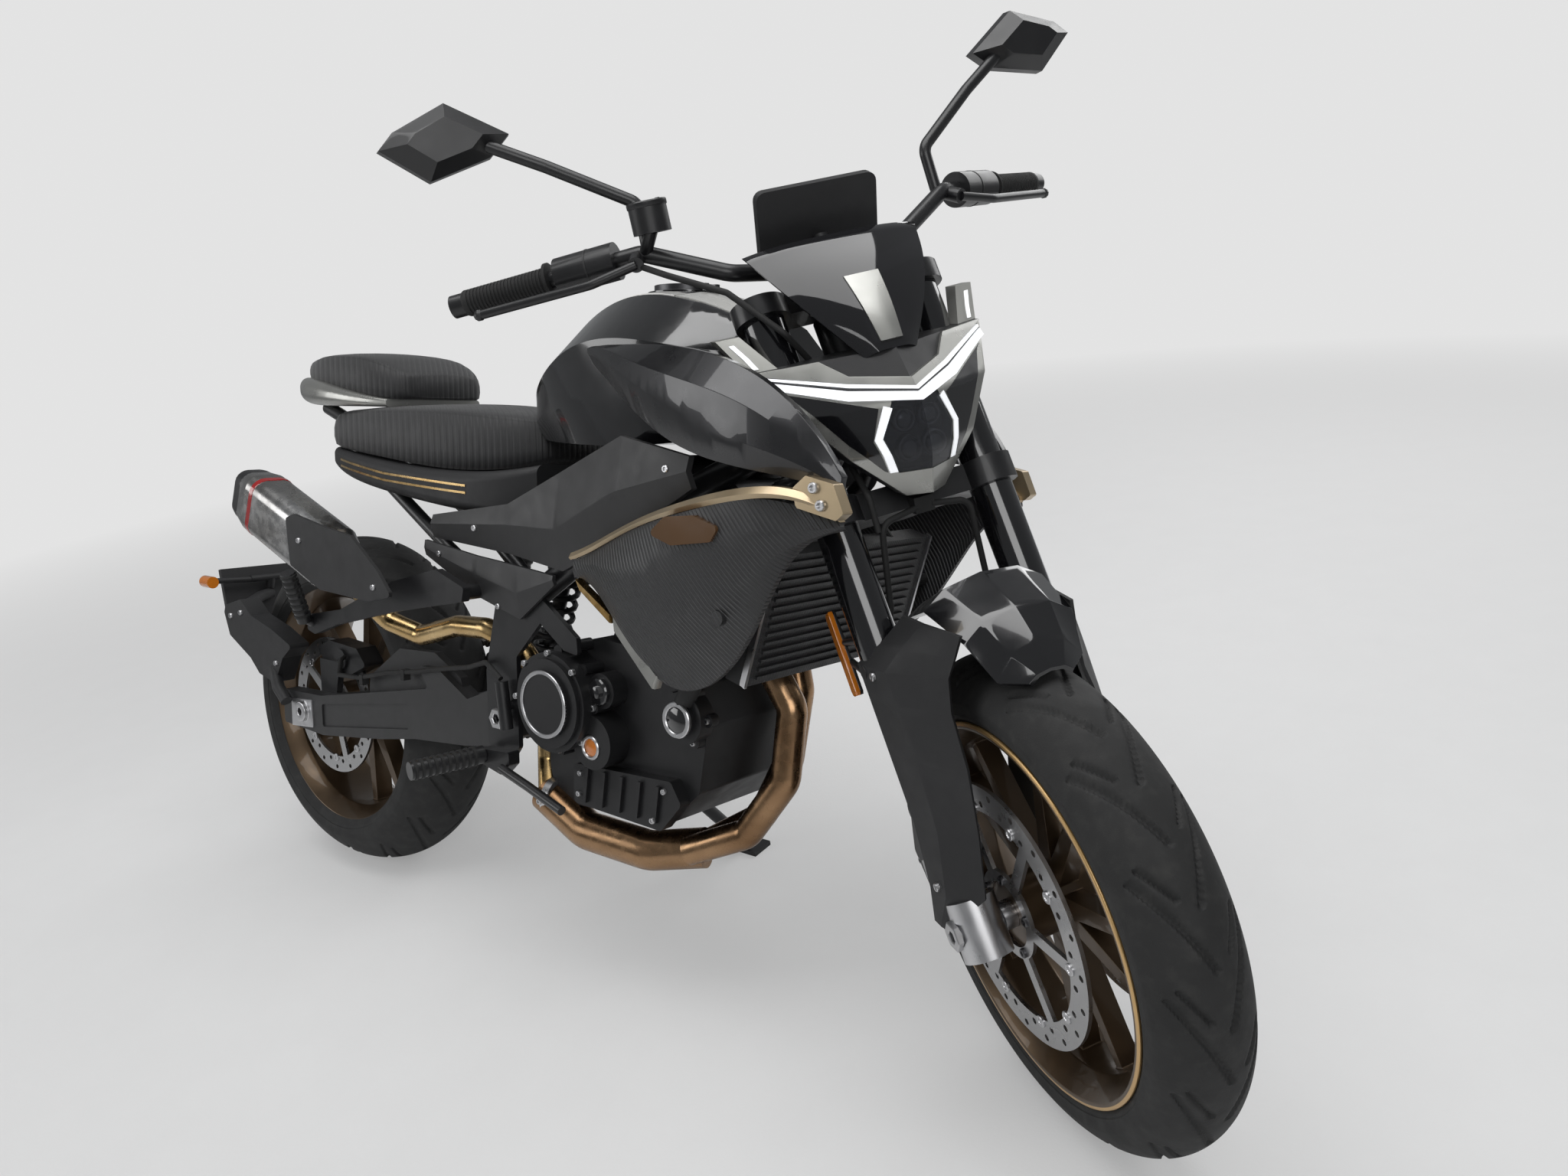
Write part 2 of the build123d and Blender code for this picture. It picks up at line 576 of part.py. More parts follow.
side_rows = [
    (440, [(150, 668), (156, 690), (150, 704)], 10), (640, [(158, 656), (166, 700), (160, 730)], 10),
    (760, [(160, 640), (174, 700), (160, 780)], 10), (900, [(172, 700), (188, 760), (176, 832)], 10),
    (1040, [(190, 768), (200, 790), (194, 808)], 10),
]
panel_boss = along((860, -140, 712), (860, -171, 720), 8)
side_panels = both(side_loft(side_rows, ruled=True) + panel_boss) - frame

cover_rows = [
    (430, [(159, 640), (162, 652), (160, 664)], 6), (560, [(159, 585), (164, 620), (161, 648)], 6),
    (660, [(159, 560), (166, 600), (162, 640)], 6), (740, [(160, 618), (163, 626), (162, 632)], 6),
]
cover_boss = across(650, 590, 10, -PLATE_OUT - 9, -PLATE_OUT)
frame_covers = both(side_loft(cover_rows, ruled=True) + cover_boss)

# Radiator shrouds with their pale trim

shroud_rows = [
    (826, [(196, 640), (199, 650), (198, 656), (197, 664)], 8),
    (905, [(202, 596), (218, 636), (220, 664), (206, 694)], 8),
    (990, [(200, 522), (232, 608), (238, 672), (222, 724)], 8),
    (1070, [(202, 524), (236, 620), (244, 696), (236, 744)], 8),
    (1180, [(216, 642), (236, 682), (244, 728), (240, 764)], 8),
    (1284, [(206, 731), (211, 734), (213, 737), (212, 741)], 8),
]
shroud_boss = across(1120, 620, 9, -234, -RADIATOR_HALF)
shrouds = both(side_loft(shroud_rows) + shroud_boss)
signal_outline = [(1022, 716), (1050, 738), (1096, 742), (1136, 730), (1124, 712), (1060, 704)]
shroud_core = side_loft([(x, outer, 40) for x, outer, wall in shroud_rows])
front_signals = both(slab(signal_outline, -249, -226, 5) - shroud_core)
trim_rows = [
    (822, [(199, 664.5), (202, 668), (198, 674)], 10), (905, [(207, 694.5), (211, 699), (205, 705)], 11),
    (990, [(223, 724.5), (227, 729), (221, 735)], 12), (1070, [(237, 744.5), (241, 750), (234, 757)], 12),
    (1180, [(241, 764.5), (245, 770), (237, 778)], 14), (1284, [(213, 741.5), (215, 745), (211, 750)], 10),
]
trim_tip = [(1232, 756), (1228, 778), (1246, 792), (1284, 784), (1298, 752), (1288, 744)]
shroud_trims = both(side_loft(trim_rows) + slab(trim_tip, -226, -208, 3)) - shrouds - tank_wings

# Seats and tail

seat_rows = [
    (92, 118, 806, 866, 24), (240, 132, 792, 872, 30), (420, 130, 776, 872, 32),
    (540, 108, 776, 862, 30), (618, 66, 790, 850, 24),
]
rider_seat = round_loft(seat_rows)
base_rows = [
    (96, 112, 770, 805, 12), (220, 140, 744, 791, 14), (400, 150, 722, 775.5, 16),
    (560, 138, 708, 775, 16), (640, 104, 706, 786, 14),
]
seat_base = round_loft(base_rows)
seat_base -= rider_seat
seat_base -= frame
seat_base -= subframe
rider_seat -= fuel_tank
rider_seat -= subframe
pillion_rows = [
    (-78, 56, 930, 958, 12), (40, 100, 908, 968, 26), (180, 108, 892, 962, 30), (268, 84, 886, 930, 20),
]
pillion_seat = round_loft(pillion_rows)
cowl_rows = [
    (-84, 64, 896, 929, 14), (20, 118, 880, 925, 20), (140, 122, 876, 905, 13), (238, 96, 874, 888, 6),
]
tail_cowl = round_loft(cowl_rows)
tail_cowl -= pillion_seat
tail_cowl -= subframe
tail_light = Pos(-91, 0, 912) * Box(14, 96, 16)

# Plate holder behind the tyre, on the right end of the axle

plate_holder = tube([(-38, -156.3, REAR_TYRE_R + 15), (-66, -156, REAR_TYRE_R + 37), (-110, -140, 385)], 11, 20)
hanger_outline = [
    (-274, 474), (-268, 489), (-206, 506), (-169, 478), (-94, 460), (-22, 434), (-57, 408), (-89, 356),
    (-147, 367), (-179, 394), (-256, 430),
]
plate_holder += slab(hanger_outline, -150, -112, 5)
plate_holder += along((-262, -131, 474), (-345, -40, 486), 11)
plate_holder += along((-345, -40, 486), (-378, 0, 486), 11)
PLATE_LEAN = -14.0
plate_place = Pos(-384, 0, 480) * Rot(0, PLATE_LEAN, 0)
plate_holder += plate_place * Box(10, 190, 130)
stalk = along((-372, -40, 520), (-372, -122, 524), 6)
plate_holder += both(stalk) + along((-378, 0, 500), (-372, 0, 522), 9) + along((-372, -44, 521), (-372, 44, 521), 7)
rear_signals = both(along((-386, -132, 524), (-352, -132, 524), 12) + along((-372, -122, 524), (-372, -132, 524), 8))
rear_signals -= plate_holder

# Rider's and passenger's footrests

peg_bracket = slab([(560, 330), (566, 350), (640, 356), (640, 336), (620, 318)], -172, -PLATE_OUT, 4)
rider_peg = along((575, -170, 342), (548, -282, 336), 14)
passenger_arm = slab([
    (140, 494), (155, 522), (249, 539), (330, 572), (403, 599), (520, 628), (590, 606), (584, 584), (412, 552),
    (237, 512), (165, 488),
], -206, -192, 5)
passenger_arm += across(560, 594, 12, -193, -120)
passenger_peg = along((156, -204, 508), (160, -222, 520), 9) + along((160, -220, 512), (178, -256, 600), 12)
footrests = both(peg_bracket + rider_peg + passenger_arm + passenger_peg)
footrests -= frame
footrests -= subframe
frame_covers -= footrests

# Foot controls

brake_pedal = tube([(630, -179.3, 332), (700, -184, 318), (780, -190, 300)], 7, 30)
gear_lever = tube([(630, 179.3, 332), (700, 184, 318), (780, 190, 300)], 7, 30)
rear_master = along((630, -166, 390), (620, -166, 462), 10) + across(625, 424, 7, -166, -PLATE_OUT)
foot_controls = brake_pedal + gear_lever + rear_master

# Rear caliper and shock absorber

caliper_low = REAR_TYRE_R + 69
caliper_mid = caliper_low + 28
rear_caliper = slab([
    (-13, caliper_low + 43), (28, caliper_low + 62), (119, caliper_low + 57), (147, caliper_mid), (84, caliper_low),
    (23, caliper_low + 4),
], -103, -64, 6)
rear_caliper += across(70, caliper_mid + 4, 19, -108, -66)
carrier_low = REAR_TYRE_R + 19
rear_caliper += slab([(12, carrier_low), (12, caliper_mid), (78, caliper_mid), (60, carrier_low)], GAP - ARM_IN, -102)
rear_caliper -= on_axle(Cylinder(REAR_DISC_R + 4, DISC_THICK + 6), REAR_AXLE, -REAR_DISC_Y)
rear_brake_hose = tube([
    (72, -92, caliper_mid + 12), (98, -122, 420), (132, -147, 402), (200, -147, 406), (290, -147, 428),
    (372, -147, 440), (440, -147, 454), (520, -150, 468), (580, -163, 486), (619, -166, 466),
], 4, 12)
for x, z in ((210, 404), (336, 430)):
    rear_brake_hose += Pos(x, -145, z) * Box(10, 13, 18)
rear_brake_hose -= swingarm
rear_brake_hose -= rear_caliper
rear_brake_hose -= foot_controls
shock = along((478, 30, 404), (562, 30, 655), 20)
for index in range(8):
    shock += along((482 + 9 * index, 30, 450 + 22 * index), (485.6 + 9 * index, 30, 458.8 + 22 * index), 33)

shock -= swingarm
shock -= subframe

# Side stand, hinged about a pin that leans outward

STAND_PIVOT = Vector(640, 138, 268)
STAND_REACH_X = 690.0
STAND_REACH_Y = 324.0
STAND_PAD = 8.0
LUG_THICK = 10.0
UP = Vector(0, -sin(radians(LEAN)), cos(radians(LEAN)))
STEERED_AXLE = Vector(0, 1, 0) * cos(radians(STEER_LOCK)) + OFFSET_DIR * sin(radians(STEER_LOCK))
STEERED_CENTRE = STEER_BASE + (
    OFFSET_DIR * cos(radians(STEER_LOCK)) - Vector(0, 1, 0) * sin(radians(STEER_LOCK))) * FORK_OFFSET


def lowest(centre, axle, tyre_r, crown):
    """Height of a leaned tyre's contact with the ground."""
    tilt = axle.dot(UP)
    return centre.dot(UP) - (tyre_r - crown) * sqrt(1 - tilt * tilt) - crown


REAR_GROUND = lowest(REAR_AXLE, Vector(0, 1, 0), REAR_TYRE_R, REAR_CROWN_R)
FRONT_GROUND = lowest(STEERED_CENTRE, STEERED_AXLE, FRONT_TYRE_R, FRONT_CROWN_R)
PITCH = degrees(asin((FRONT_GROUND - REAR_GROUND) / STEERED_CENTRE.X))
stand_ground = REAR_GROUND + (FRONT_GROUND - REAR_GROUND) * STAND_REACH_X / STEERED_CENTRE.X
stand_z = (stand_ground + STAND_PAD / 2 + STAND_REACH_Y * sin(radians(LEAN))) / cos(radians(LEAN))
STAND_FOOT = Vector(STAND_REACH_X, STAND_REACH_Y, stand_z)
stand_dir = (STAND_FOOT - STAND_PIVOT).normalized()
folded_dir = Vector(-1, 0.12, -0.02).normalized()
STAND_AXIS_DIR = stand_dir.cross(folded_dir).normalized()
hinge = Plane(origin=STAND_PIVOT, x_dir=stand_dir, z_dir=STAND_AXIS_DIR)
stand_length = (STAND_FOOT - STAND_PIVOT).length
cheek = Cylinder(18, 7) + Pos(22, 0, 0) * Box(44, 24, 7)
cheek_lift = LUG_THICK / 2 + GAP + 3.5
stand_local = Pos(0, 0, cheek_lift) * cheek + Pos(0, 0, -cheek_lift) * cheek
stand_local += Pos(36, 0, 0) * Box(16, 24, 2 * cheek_lift + 7)
stand_local += Cylinder(6, 2 * cheek_lift + 12)
leg_run = stand_length - 30
stand_local += Pos(30 + leg_run / 2, 0, 0) * Rot(0, 90, 0) * Cylinder(11, leg_run)
side_stand = hinge * stand_local
pad_plane = Plane(origin=STAND_FOOT, x_dir=(1, 0, 0), z_dir=UP)
side_stand += pad_plane * Box(66, 44, STAND_PAD)
side_stand -= pad_plane * Pos(0, 0, -STAND_PAD / 2 - 15) * Box(90, 90, 30)
stand_lug = Cylinder(18, LUG_THICK) - Cylinder(6 + GAP, LUG_THICK + 2)
stand_lug += Pos(-34, 0, 0) * Box(36, 26, LUG_THICK)
stand_lug = hinge * stand_lug
stand_lug += along((632, 112, 298), (630, 147, 352), 9)
frame += stand_lug
footrests -= frame

# Steering: yokes, fork, mudguard


def fork_height(z):
    """Distance up the steering axis from its base point to height z."""
    return (z - STEER_BASE.Z) / RAKE_DIR.Z


LOWER_YOKE = fork_height(752)
UPPER_YOKE = fork_height(1000)


def yoke(level, thick):
    """Fork clamp plate across both legs and the stem, about the steering axis."""
    plate = Pos(FORK_OFFSET / 2, 0, 0) * Box(52, 2 * FORK_SPREAD - 10, thick)
    for side in (-1, 1):
        plate += Pos(FORK_OFFSET, side * FORK_SPREAD, 0) * Cylinder(FORK_OUTER_R + 9, thick)
    plate += Cylinder(32, thick)
    return Pos(0, 0, level) * plate


fork_bores = Part()
for side in (-1, 1):
    fork_bores += Pos(FORK_OFFSET, side * FORK_SPREAD, 0) * Cylinder(FORK_OUTER_R + GAP / 2, 2400)
yoke_shape = yoke(LOWER_YOKE, YOKE_THICK) + yoke(UPPER_YOKE, YOKE_THICK - 8)
stem_low = LOWER_YOKE - YOKE_THICK / 2
stem_high = UPPER_YOKE + 12
stem = Pos(0, 0, stem_low) * Cylinder(STEM_R, stem_high - stem_low, align=(Align.CENTER, Align.CENTER, Align.MIN))
yokes = FORK_PLANE * (yoke_shape + stem - fork_bores)

OUTER_LOW = fork_height(560)
OUTER_HIGH = UPPER_YOKE + 16
outer_leg = Cylinder(FORK_OUTER_R, OUTER_HIGH - OUTER_LOW, align=(Align.CENTER, Align.CENTER, Align.MIN))
inner_leg = Cylinder(FORK_INNER_R, OUTER_LOW - 30, align=(Align.CENTER, Align.CENTER, Align.MIN))
fork_tubes = Part()
fork_feet = Part()
for side in (-1, 1):
    leg_y = side * FORK_SPREAD
    fork_tubes += Pos(FORK_OFFSET, leg_y, OUTER_LOW) * outer_leg
    foot = Pos(FORK_OFFSET, leg_y, 30) * inner_leg
    foot += Pos(FORK_OFFSET, leg_y, 0) * Cylinder(30, 70)
    foot += Pos(FORK_OFFSET - 54, leg_y - side * 4, 36) * Box(80, 26, 90)
    fork_feet += foot
front_axle = Rot(90, 0, 0) * Cylinder(AXLE_R, 2 * FORK_SPREAD + 60)
axle_parts = front_axle
for side in (-1, 1):
    axle_parts += Pos(0, side * (FRONT_HUB_HALF + GAP + 8), 0) * Rot(90, 0, 0) * Cylinder(17, 16)
fork_feet += Pos(FORK_OFFSET, 0, 0) * axle_parts
fork_feet -= Pos(FORK_OFFSET, 0, 0) * Rot(90, 0, 0) * Cylinder(7, 2 * FORK_SPREAD + 80)
fork_tubes = FORK_PLANE * fork_tubes
fork_feet = FORK_PLANE * fork_feet

# Mudguard: half ring over the tyre, and the guards in front of the lower legs

VISOR_WALL = 4.0
# Columns: x, half width, height of the side edge and of the crown over the tyre's top
visor_rows = [
    (1326, 70, 36, 54), (1404, 78, 66, 92), (1474, 69, 42, 66), (1508, 54, 2, 36), (1530, 28, -1, 9),
]
visor_faces = []
for x, half, edge, crown in visor_rows:
    haunch = edge + 0.75 * (crown - edge)
    arch = [(-half, edge), (-0.62 * half, haunch), (0, crown), (0.62 * half, haunch), (half, edge)]
    under = [(y * (1 - VISOR_WALL / half), z - VISOR_WALL) for y, z in reversed(arch)]
    section = Polygon(*(arch + under), align=None)
    visor_faces.append(Plane.YZ.offset(x) * Pos(0, 2 * FRONT_TYRE_R) * section)
mudguard = loft(visor_faces, ruled=True)
# Columns: height, outline of the guard from behind the leg round to its front edge, wall
guard_rows = [
    (298, [(1420, -142), (1436, -142), (1450, -140)], 4), (345, [(1424, -141), (1456, -137), (1490, -104)], 4),
    (420, [(1404, -138), (1442, -127), (1482, -95)], 4), (500, [(1367, -138), (1418, -126), (1479, -93)], 4),
    (560, [(1339, -138), (1394, -127), (1452, -88)], 4), (600, [(1321, -138), (1376, -128), (1452, -84)], 4),
    (626, [(1350, -116), (1388, -108), (1464, -78)], 4), (652, [(1356, -84), (1402, -82), (1474, -72)], 4),
]
guard = height_loft(guard_rows)
guard += across(1440, 352, 9, -FORK_SPREAD - FORK_OUTER_R - 3, -FORK_SPREAD - 18)
guard += across(1330, 590, 9, -FORK_SPREAD - FORK_OUTER_R - 3, -FORK_SPREAD - 24)
fork_guards = both(guard)
fork_guards -= fork_feet
fork_guards -= fork_tubes
mudguard -= fork_guards

caliper_outline = [(1300, 250), (1262, 300), (1280, 400), (1330, 420), (1372, 360), (1352, 262)]
caliper = slab(caliper_outline, -FRONT_DISC_Y - 24, -FRONT_DISC_Y + 8, 8)
caliper -= on_axle(Cylinder(FRONT_DISC_R + 4, DISC_THICK + 6), FRONT_AXLE, -FRONT_DISC_Y)
for x, z in ((1296, 372), (1300, 306)):
    caliper += across(x, z, 17, -FRONT_DISC_Y - 29, -FRONT_DISC_Y - 20)
front_calipers = both(caliper) - fork_feet

# Handlebar, grips, controls, mirrors

bar_half = [(925, -425, 1098), (1050, -215, 1112), (1094, -120, 1066), (1078, -60, 1056)]
bar_points = bar_half + [(x, -y, z) for x, y, z in reversed(bar_half)]
handlebar = tube(bar_points, 11, 30)
handlebar += both(along((1076, -42, 1060), (1108, -42, 1008), 16))
handlebar -= yokes
handlebar += both(along((926, -423, 1098.1), (912, -448, 1096.4), 15))
grip = along((984, -325, 1104.7), (921, -431, 1097.6), 17)
grips = both(grip) - handlebar
switch_box = along((1032, -245, 1110), (990, -315, 1105.4), 24)
perch = along((1044, -222, 1110), (1070, -232, 1100), 10)
lever = tube([(1070, -232, 1100), (1052, -290, 1088), (968, -424, 1080)], 6, 30)
reservoir = Pos(1085, -205, 1150) * Cylinder(24, 34)
reservoir += along((1085, -205, 1138), (1052, -213, 1110), 8)
hand_controls = both(switch_box + lever + perch) + reservoir
hand_controls -= handlebar
hand_controls -= grips

mirror_outline = [(-82, -4), (-12, 44), (58, 20), (80, 2), (28, -44), (-52, -28)]
MIRROR_Y = 412.0
MIRROR_Z = 1290.0
mirror_faces = []
for x, share in ((966, 1.0), (984, 0.98), (1008, 0.56)):
    outline = [(MIRROR_Y + share * y, MIRROR_Z + share * z) for y, z in mirror_outline]
    mirror_faces.append(Plane.YZ.offset(x) * Polygon(*outline, align=None))
mirror_head = loft(mirror_faces, ruled=True)
mirror_stem = tube([(1048, 207, 1116), (1040, 203, 1172), (1006, 300, 1238), (986, 376, 1284)], 8, 20)
mirrors = both(mirror_head + mirror_stem) - hand_controls - handlebar

# Display, flyscreen, headlight

display = Pos(1108, 0, 1104) * Rot(0, -24, 0) * Box(22, 158, 100)
display += along((1118, 0, 1066), (1128, 0, 1008), 12)
display -= yokes
display -= handlebar
screen_rows = [
    (1272, 34, 948), (1240, 70, 1000), (1150, 118, 1088),
]
screen_faces = []
for x, half, z in screen_rows:
    back = [(x - 3, half), (x + 6, 0), (x - 3, -half)]
    section = Polygon((x + 3, -half), (x + 12, 0), (x + 3, half), *back, align=None)
    screen_faces.append(Plane.XY.offset(z) * section)
flyscreen = loft(screen_faces, ruled=True)

# Columns: height, half width, x of the side edge, of the nose and of the back
lamp_rows = [
    (775, 26, 1292, 1312, 1268), (830, 82, 1280, 1330, 1244),
    (890, 126, 1250, 1325, 1224), (948, 158, 1196, 1284, 1186),
]
FRAME_SKIN = 6.0
BAR_SKIN = 3.0


def lamp_face(row, grow):
    """Section of the lamp at one height, with its nose grown forward."""
    z, half, x_side, x_nose, x_back = row
    points = [
        (x_back, -half), (x_side + grow, -half), (x_nose + grow, 0), (x_side + grow, half), (x_back, half),
    ]
    return Plane.XY.offset(z) * Polygon(*points, align=None)


def lamp_form(grow=0.0):
    """The lamp's body, grown forward."""
    return loft([lamp_face(row, grow) for row in lamp_rows], ruled=True)


def lamp_skin(outer, inset=0.0):
    """Layer over the lamp's front, from a growth back to an inset."""
    return lamp_form(outer) - Pos(-inset, 0, 0) * lamp_form()


def seen_from_front(points):
    """Front-view outline of (y, z) points as a block through the lamp."""
    return Plane.YZ.offset(1260) * extrude(Polygon(*points, align=None), amount=120, both=True)


window = seen_from_front([(-34, 806), (-46, 850), (-30, 892), (30, 892), (46, 850), (34, 806)])
notch = seen_from_front([(-96, 960), (-60, 926), (0, 914), (60, 926), (96, 960)])
bar_outline = [(0, 904), (64, 918), (150, 944), (152, 930), (72, 900), (0, 888)]
light_bars = both(seen_from_front([(-y, z) for y, z in bar_outline]))
headlight = lamp_form() - (window & lamp_skin(0, 24))
arm_low = Plane.XY.offset(946) * Polygon((1187, -156), (1196, -156), (1212, -122), (1188, -122), align=None)
arm_high = Plane.XY.offset(992) * Polygon((1134, -178), (1158, -178), (1168, -150), (1140, -150), align=None)
headlight += both(loft([arm_low, arm_high], ruled=True))
headlight -= fork_tubes
headlight_frame = lamp_skin(FRAME_SKIN) - window - notch - light_bars - headlight
lens_front = lamp_skin(FRAME_SKIN - 1, 10) & window
bar_lens = (lamp_skin(FRAME_SKIN + BAR_SKIN) & light_bars) - notch
headlight_lens = (lens_front + bar_lens) - headlight - headlight_frame

# Brake hoses from the master cylinder over the lower yoke to both calipers

hose_upper = tube([
    (1062, -226, 1098), (1112, -206, 1080), (1158, -150, 1046), (1198, -102, 986), (1178, -66, 940),
    (1206, -66, 862), (1240, -66, 814), (1282, -68, 782), (1287, -66, 738),
], 4, 14)
hose_lower = tube([
    (1284, -10, 754), (1286, -60, 746), (1284, -68, 640), (1286, -98, 540), (1306, -80, 404),
], 4, 18)
brake_hoses = hose_upper + both(hose_lower) + Pos(1276, 0, 756) * Box(22, 26, 20)
for solid in (yokes, hand_controls, front_calipers, headlight, handlebar):
    brake_hoses -= solid

# Steering, lean and pitch of the parked machine

parts = {
    "chassis": {
        "frame": frame, "subframe": subframe, "crankcase": crankcase, "cylinder_block": cylinder_block,
        "engine_covers": engine_covers, "radiator": radiator, "coolant_hoses": coolant_hoses,
        "shrouds": shrouds, "shroud_trims": shroud_trims, "fuel_tank": fuel_tank, "tank_wings": tank_wings,
        "side_panels": side_panels, "frame_covers": frame_covers, "rider_seat": rider_seat,
        "pillion_seat": pillion_seat, "seat_base": seat_base, "tail_cowl": tail_cowl, "tail_light": tail_light,
        "headers": headers, "mid_pipe": mid_pipe, "silencer": silencer, "heat_shield": heat_shield,
        "swingarm": swingarm, "rear_axle": rear_axle, "shock": shock, "chain": chain,
        "plate_holder": plate_holder, "footrests": footrests, "foot_controls": foot_controls,
        "rear_caliper": rear_caliper, "rear_brake_hose": rear_brake_hose, "front_signals": front_signals,
        "rear_signals": rear_signals,
    },
    "steering": {
        "yokes": yokes, "fork_tubes": fork_tubes, "fork_feet": fork_feet, "mudguard": mudguard,
        "fork_guards": fork_guards, "front_calipers": front_calipers, "handlebar": handlebar, "grips": grips,
        "hand_controls": hand_controls, "mirrors": mirrors, "display": display, "flyscreen": flyscreen,
        "headlight": headlight, "headlight_frame": headlight_frame, "headlight_lens": headlight_lens,
        "brake_hoses": brake_hoses,
    },
    "front_wheel": {"front_tyre": front_tyre, "front_rim": front_wheel, "front_discs": front_discs},
    "rear_wheel": {
        "rear_tyre": rear_tyre, "rear_rim": rear_wheel, "rear_disc": rear_disc, "rear_sprocket": rear_sprocket,
    },
    "side_stand": {"side_stand": side_stand},
    "fuel_cap": {"fuel_cap": fuel_cap},
}
STEERED = ("steering", "front_wheel")


STEER_TURN = FORK_PLANE.location * Rot(0, 0, -STEER_LOCK) * FORK_PLANE.location.inverse()
PARK_TURN = Rot(0, PITCH, 0) * Rot(-LEAN, 0, 0)


def place(shape, steered):
    """Turn the steered parts to the right stop, then lean the machine to its left."""
    if steered:
        shape = STEER_TURN * shape
    return PARK_TURN * shape


placed = {name: place(shape, body in STEERED) for body, nodes in parts.items() for name, shape in nodes.items()}
boxes = [shape.bounding_box() for shape in placed.values()]
low = Vector(*(min(tuple(box.min)[axis] for box in boxes) for axis in range(3)))
high = Vector(*(max(tuple(box.max)[axis] for box in boxes) for axis in range(3)))
SHIFT = Vector(-(low.X + high.X) / 2, -(low.Y + high.Y) / 2, -low.Z)


def place_point(point, steered=False):
    """A point of the upright machine in the finished frame."""
    return place(Pos(point), steered).position + SHIFT


def show(name, start, direction, steered=False):
    """Print a named place and direction in the finished frame."""
    origin = place_point(start, steered)
    turned = (place_point(start + direction * 100, steered) - origin) / 100
    numbers = [round(value, 4) for value in (*origin, *turned)]
    print("place", name, *numbers)


show("steering", STEER_BASE, RAKE_DIR)
show("front_axle", FRONT_AXLE, Vector(0, 1, 0), True)
show("rear_axle", REAR_AXLE, Vector(0, 1, 0))
show("side_stand", STAND_PIVOT, STAND_AXIS_DIR)
show("fuel_cap", Vector(CAP_HINGE_X, 0, CAP_HINGE_Z), Vector(0, 1, 0))
show("pivot", Vector(PIVOT_X, 0, PIVOT_Z), Vector(0, 1, 0))
show("upright", Vector(0, 0, 0), Vector(0, 0, 1))
print("size", *[round(value, 3) for value in (high - low)])

os.makedirs("parts", exist_ok=True)
for name, shape in placed.items():
    export_step(shape.translate(SHIFT), f"parts/{name}.step")
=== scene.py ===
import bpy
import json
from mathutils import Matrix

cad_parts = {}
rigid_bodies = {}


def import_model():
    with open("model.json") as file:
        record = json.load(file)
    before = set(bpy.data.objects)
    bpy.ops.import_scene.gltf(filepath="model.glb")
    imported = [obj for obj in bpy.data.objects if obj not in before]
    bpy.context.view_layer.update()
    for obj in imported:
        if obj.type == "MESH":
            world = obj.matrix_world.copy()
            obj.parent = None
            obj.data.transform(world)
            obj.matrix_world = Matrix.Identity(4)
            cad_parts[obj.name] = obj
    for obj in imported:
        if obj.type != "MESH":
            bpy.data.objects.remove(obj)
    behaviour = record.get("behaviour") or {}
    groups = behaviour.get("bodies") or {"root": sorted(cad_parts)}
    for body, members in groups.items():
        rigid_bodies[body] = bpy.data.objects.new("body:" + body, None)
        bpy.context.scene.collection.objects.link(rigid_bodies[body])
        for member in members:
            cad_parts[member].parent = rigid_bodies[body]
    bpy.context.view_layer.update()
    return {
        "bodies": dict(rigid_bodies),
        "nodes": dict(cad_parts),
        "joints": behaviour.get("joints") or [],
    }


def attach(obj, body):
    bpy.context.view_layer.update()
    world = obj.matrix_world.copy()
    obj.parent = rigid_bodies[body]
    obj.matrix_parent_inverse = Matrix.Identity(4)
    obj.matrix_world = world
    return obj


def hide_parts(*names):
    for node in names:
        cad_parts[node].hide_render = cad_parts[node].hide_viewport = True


bl_info = {
    "name": "Parked motorcycle",
    "version": (1, 0, 0),
    "blender": (4, 5, 0),
    "location": "View3D > Sidebar > Motorcycle",
    "description": "Finishes, tread, seats, lamps, fasteners and studio for a parked standard motorcycle",
    "category": "Add Mesh",
}

import json
from cmath import phase, rect
from math import cos, hypot, pi, radians, sin, sqrt

import bmesh
import bpy
import numpy as np
from bpy.props import FloatProperty, FloatVectorProperty, IntProperty, PointerProperty
from mathutils import Matrix, Vector
from mathutils.bvhtree import BVHTree

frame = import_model()

# Every place below is written for the upright, unsteered machine in millimetres: x forward from the rear
# axle, y to the rider's left, z up from the ground. The joints of the frame carry it to the parked machine.

MM = 0.001
UP = (0, 0, 1)
LEFTWARD = (0, 1, 0)
RIGHTWARD = (0, -1, 0)
RAKE = radians(24.9)
STEER_LOCK = radians(34.9)
WHEELBASE = 1466.0
FRONT_AXLE_Z = 300.0
REAR_AXLE_Z = 315.0


def joint_line(name):
    """A point on a joint's axis and its unit direction."""
    joint = next(entry for entry in frame["joints"] if entry["name"] == name)
    return Vector(joint["pos_m"]), Vector(joint["axis"]).normalized()


def parked_frames():
    """The matrices from upright millimetres to the leaned machine and to its steered front end."""
    axle, left = joint_line("rear_wheel_spin")
    pivot, steer_up = joint_line("steering")
    offset = left.cross(steer_up).normalized()
    forward = cos(RAKE) * offset - sin(RAKE) * steer_up
    up = sin(RAKE) * offset + cos(RAKE) * steer_up
    origin = axle - up * REAR_AXLE_Z * MM
    leaned = Matrix.Translation(origin) @ Matrix((forward, left, up)).transposed().to_4x4()
    turn = Matrix.Translation(pivot) @ Matrix.Rotation(-STEER_LOCK, 4, steer_up) @ Matrix.Translation(-pivot)
    scale = Matrix.Scale(MM, 4)
    return leaned @ scale, turn @ leaned @ scale


LEANED, STEERED = parked_frames()
FRAMES = {body: LEANED for body in frame["bodies"]}
FRAMES["steering"] = STEERED
FRAMES["front_wheel"] = STEERED

FINISHES = {}


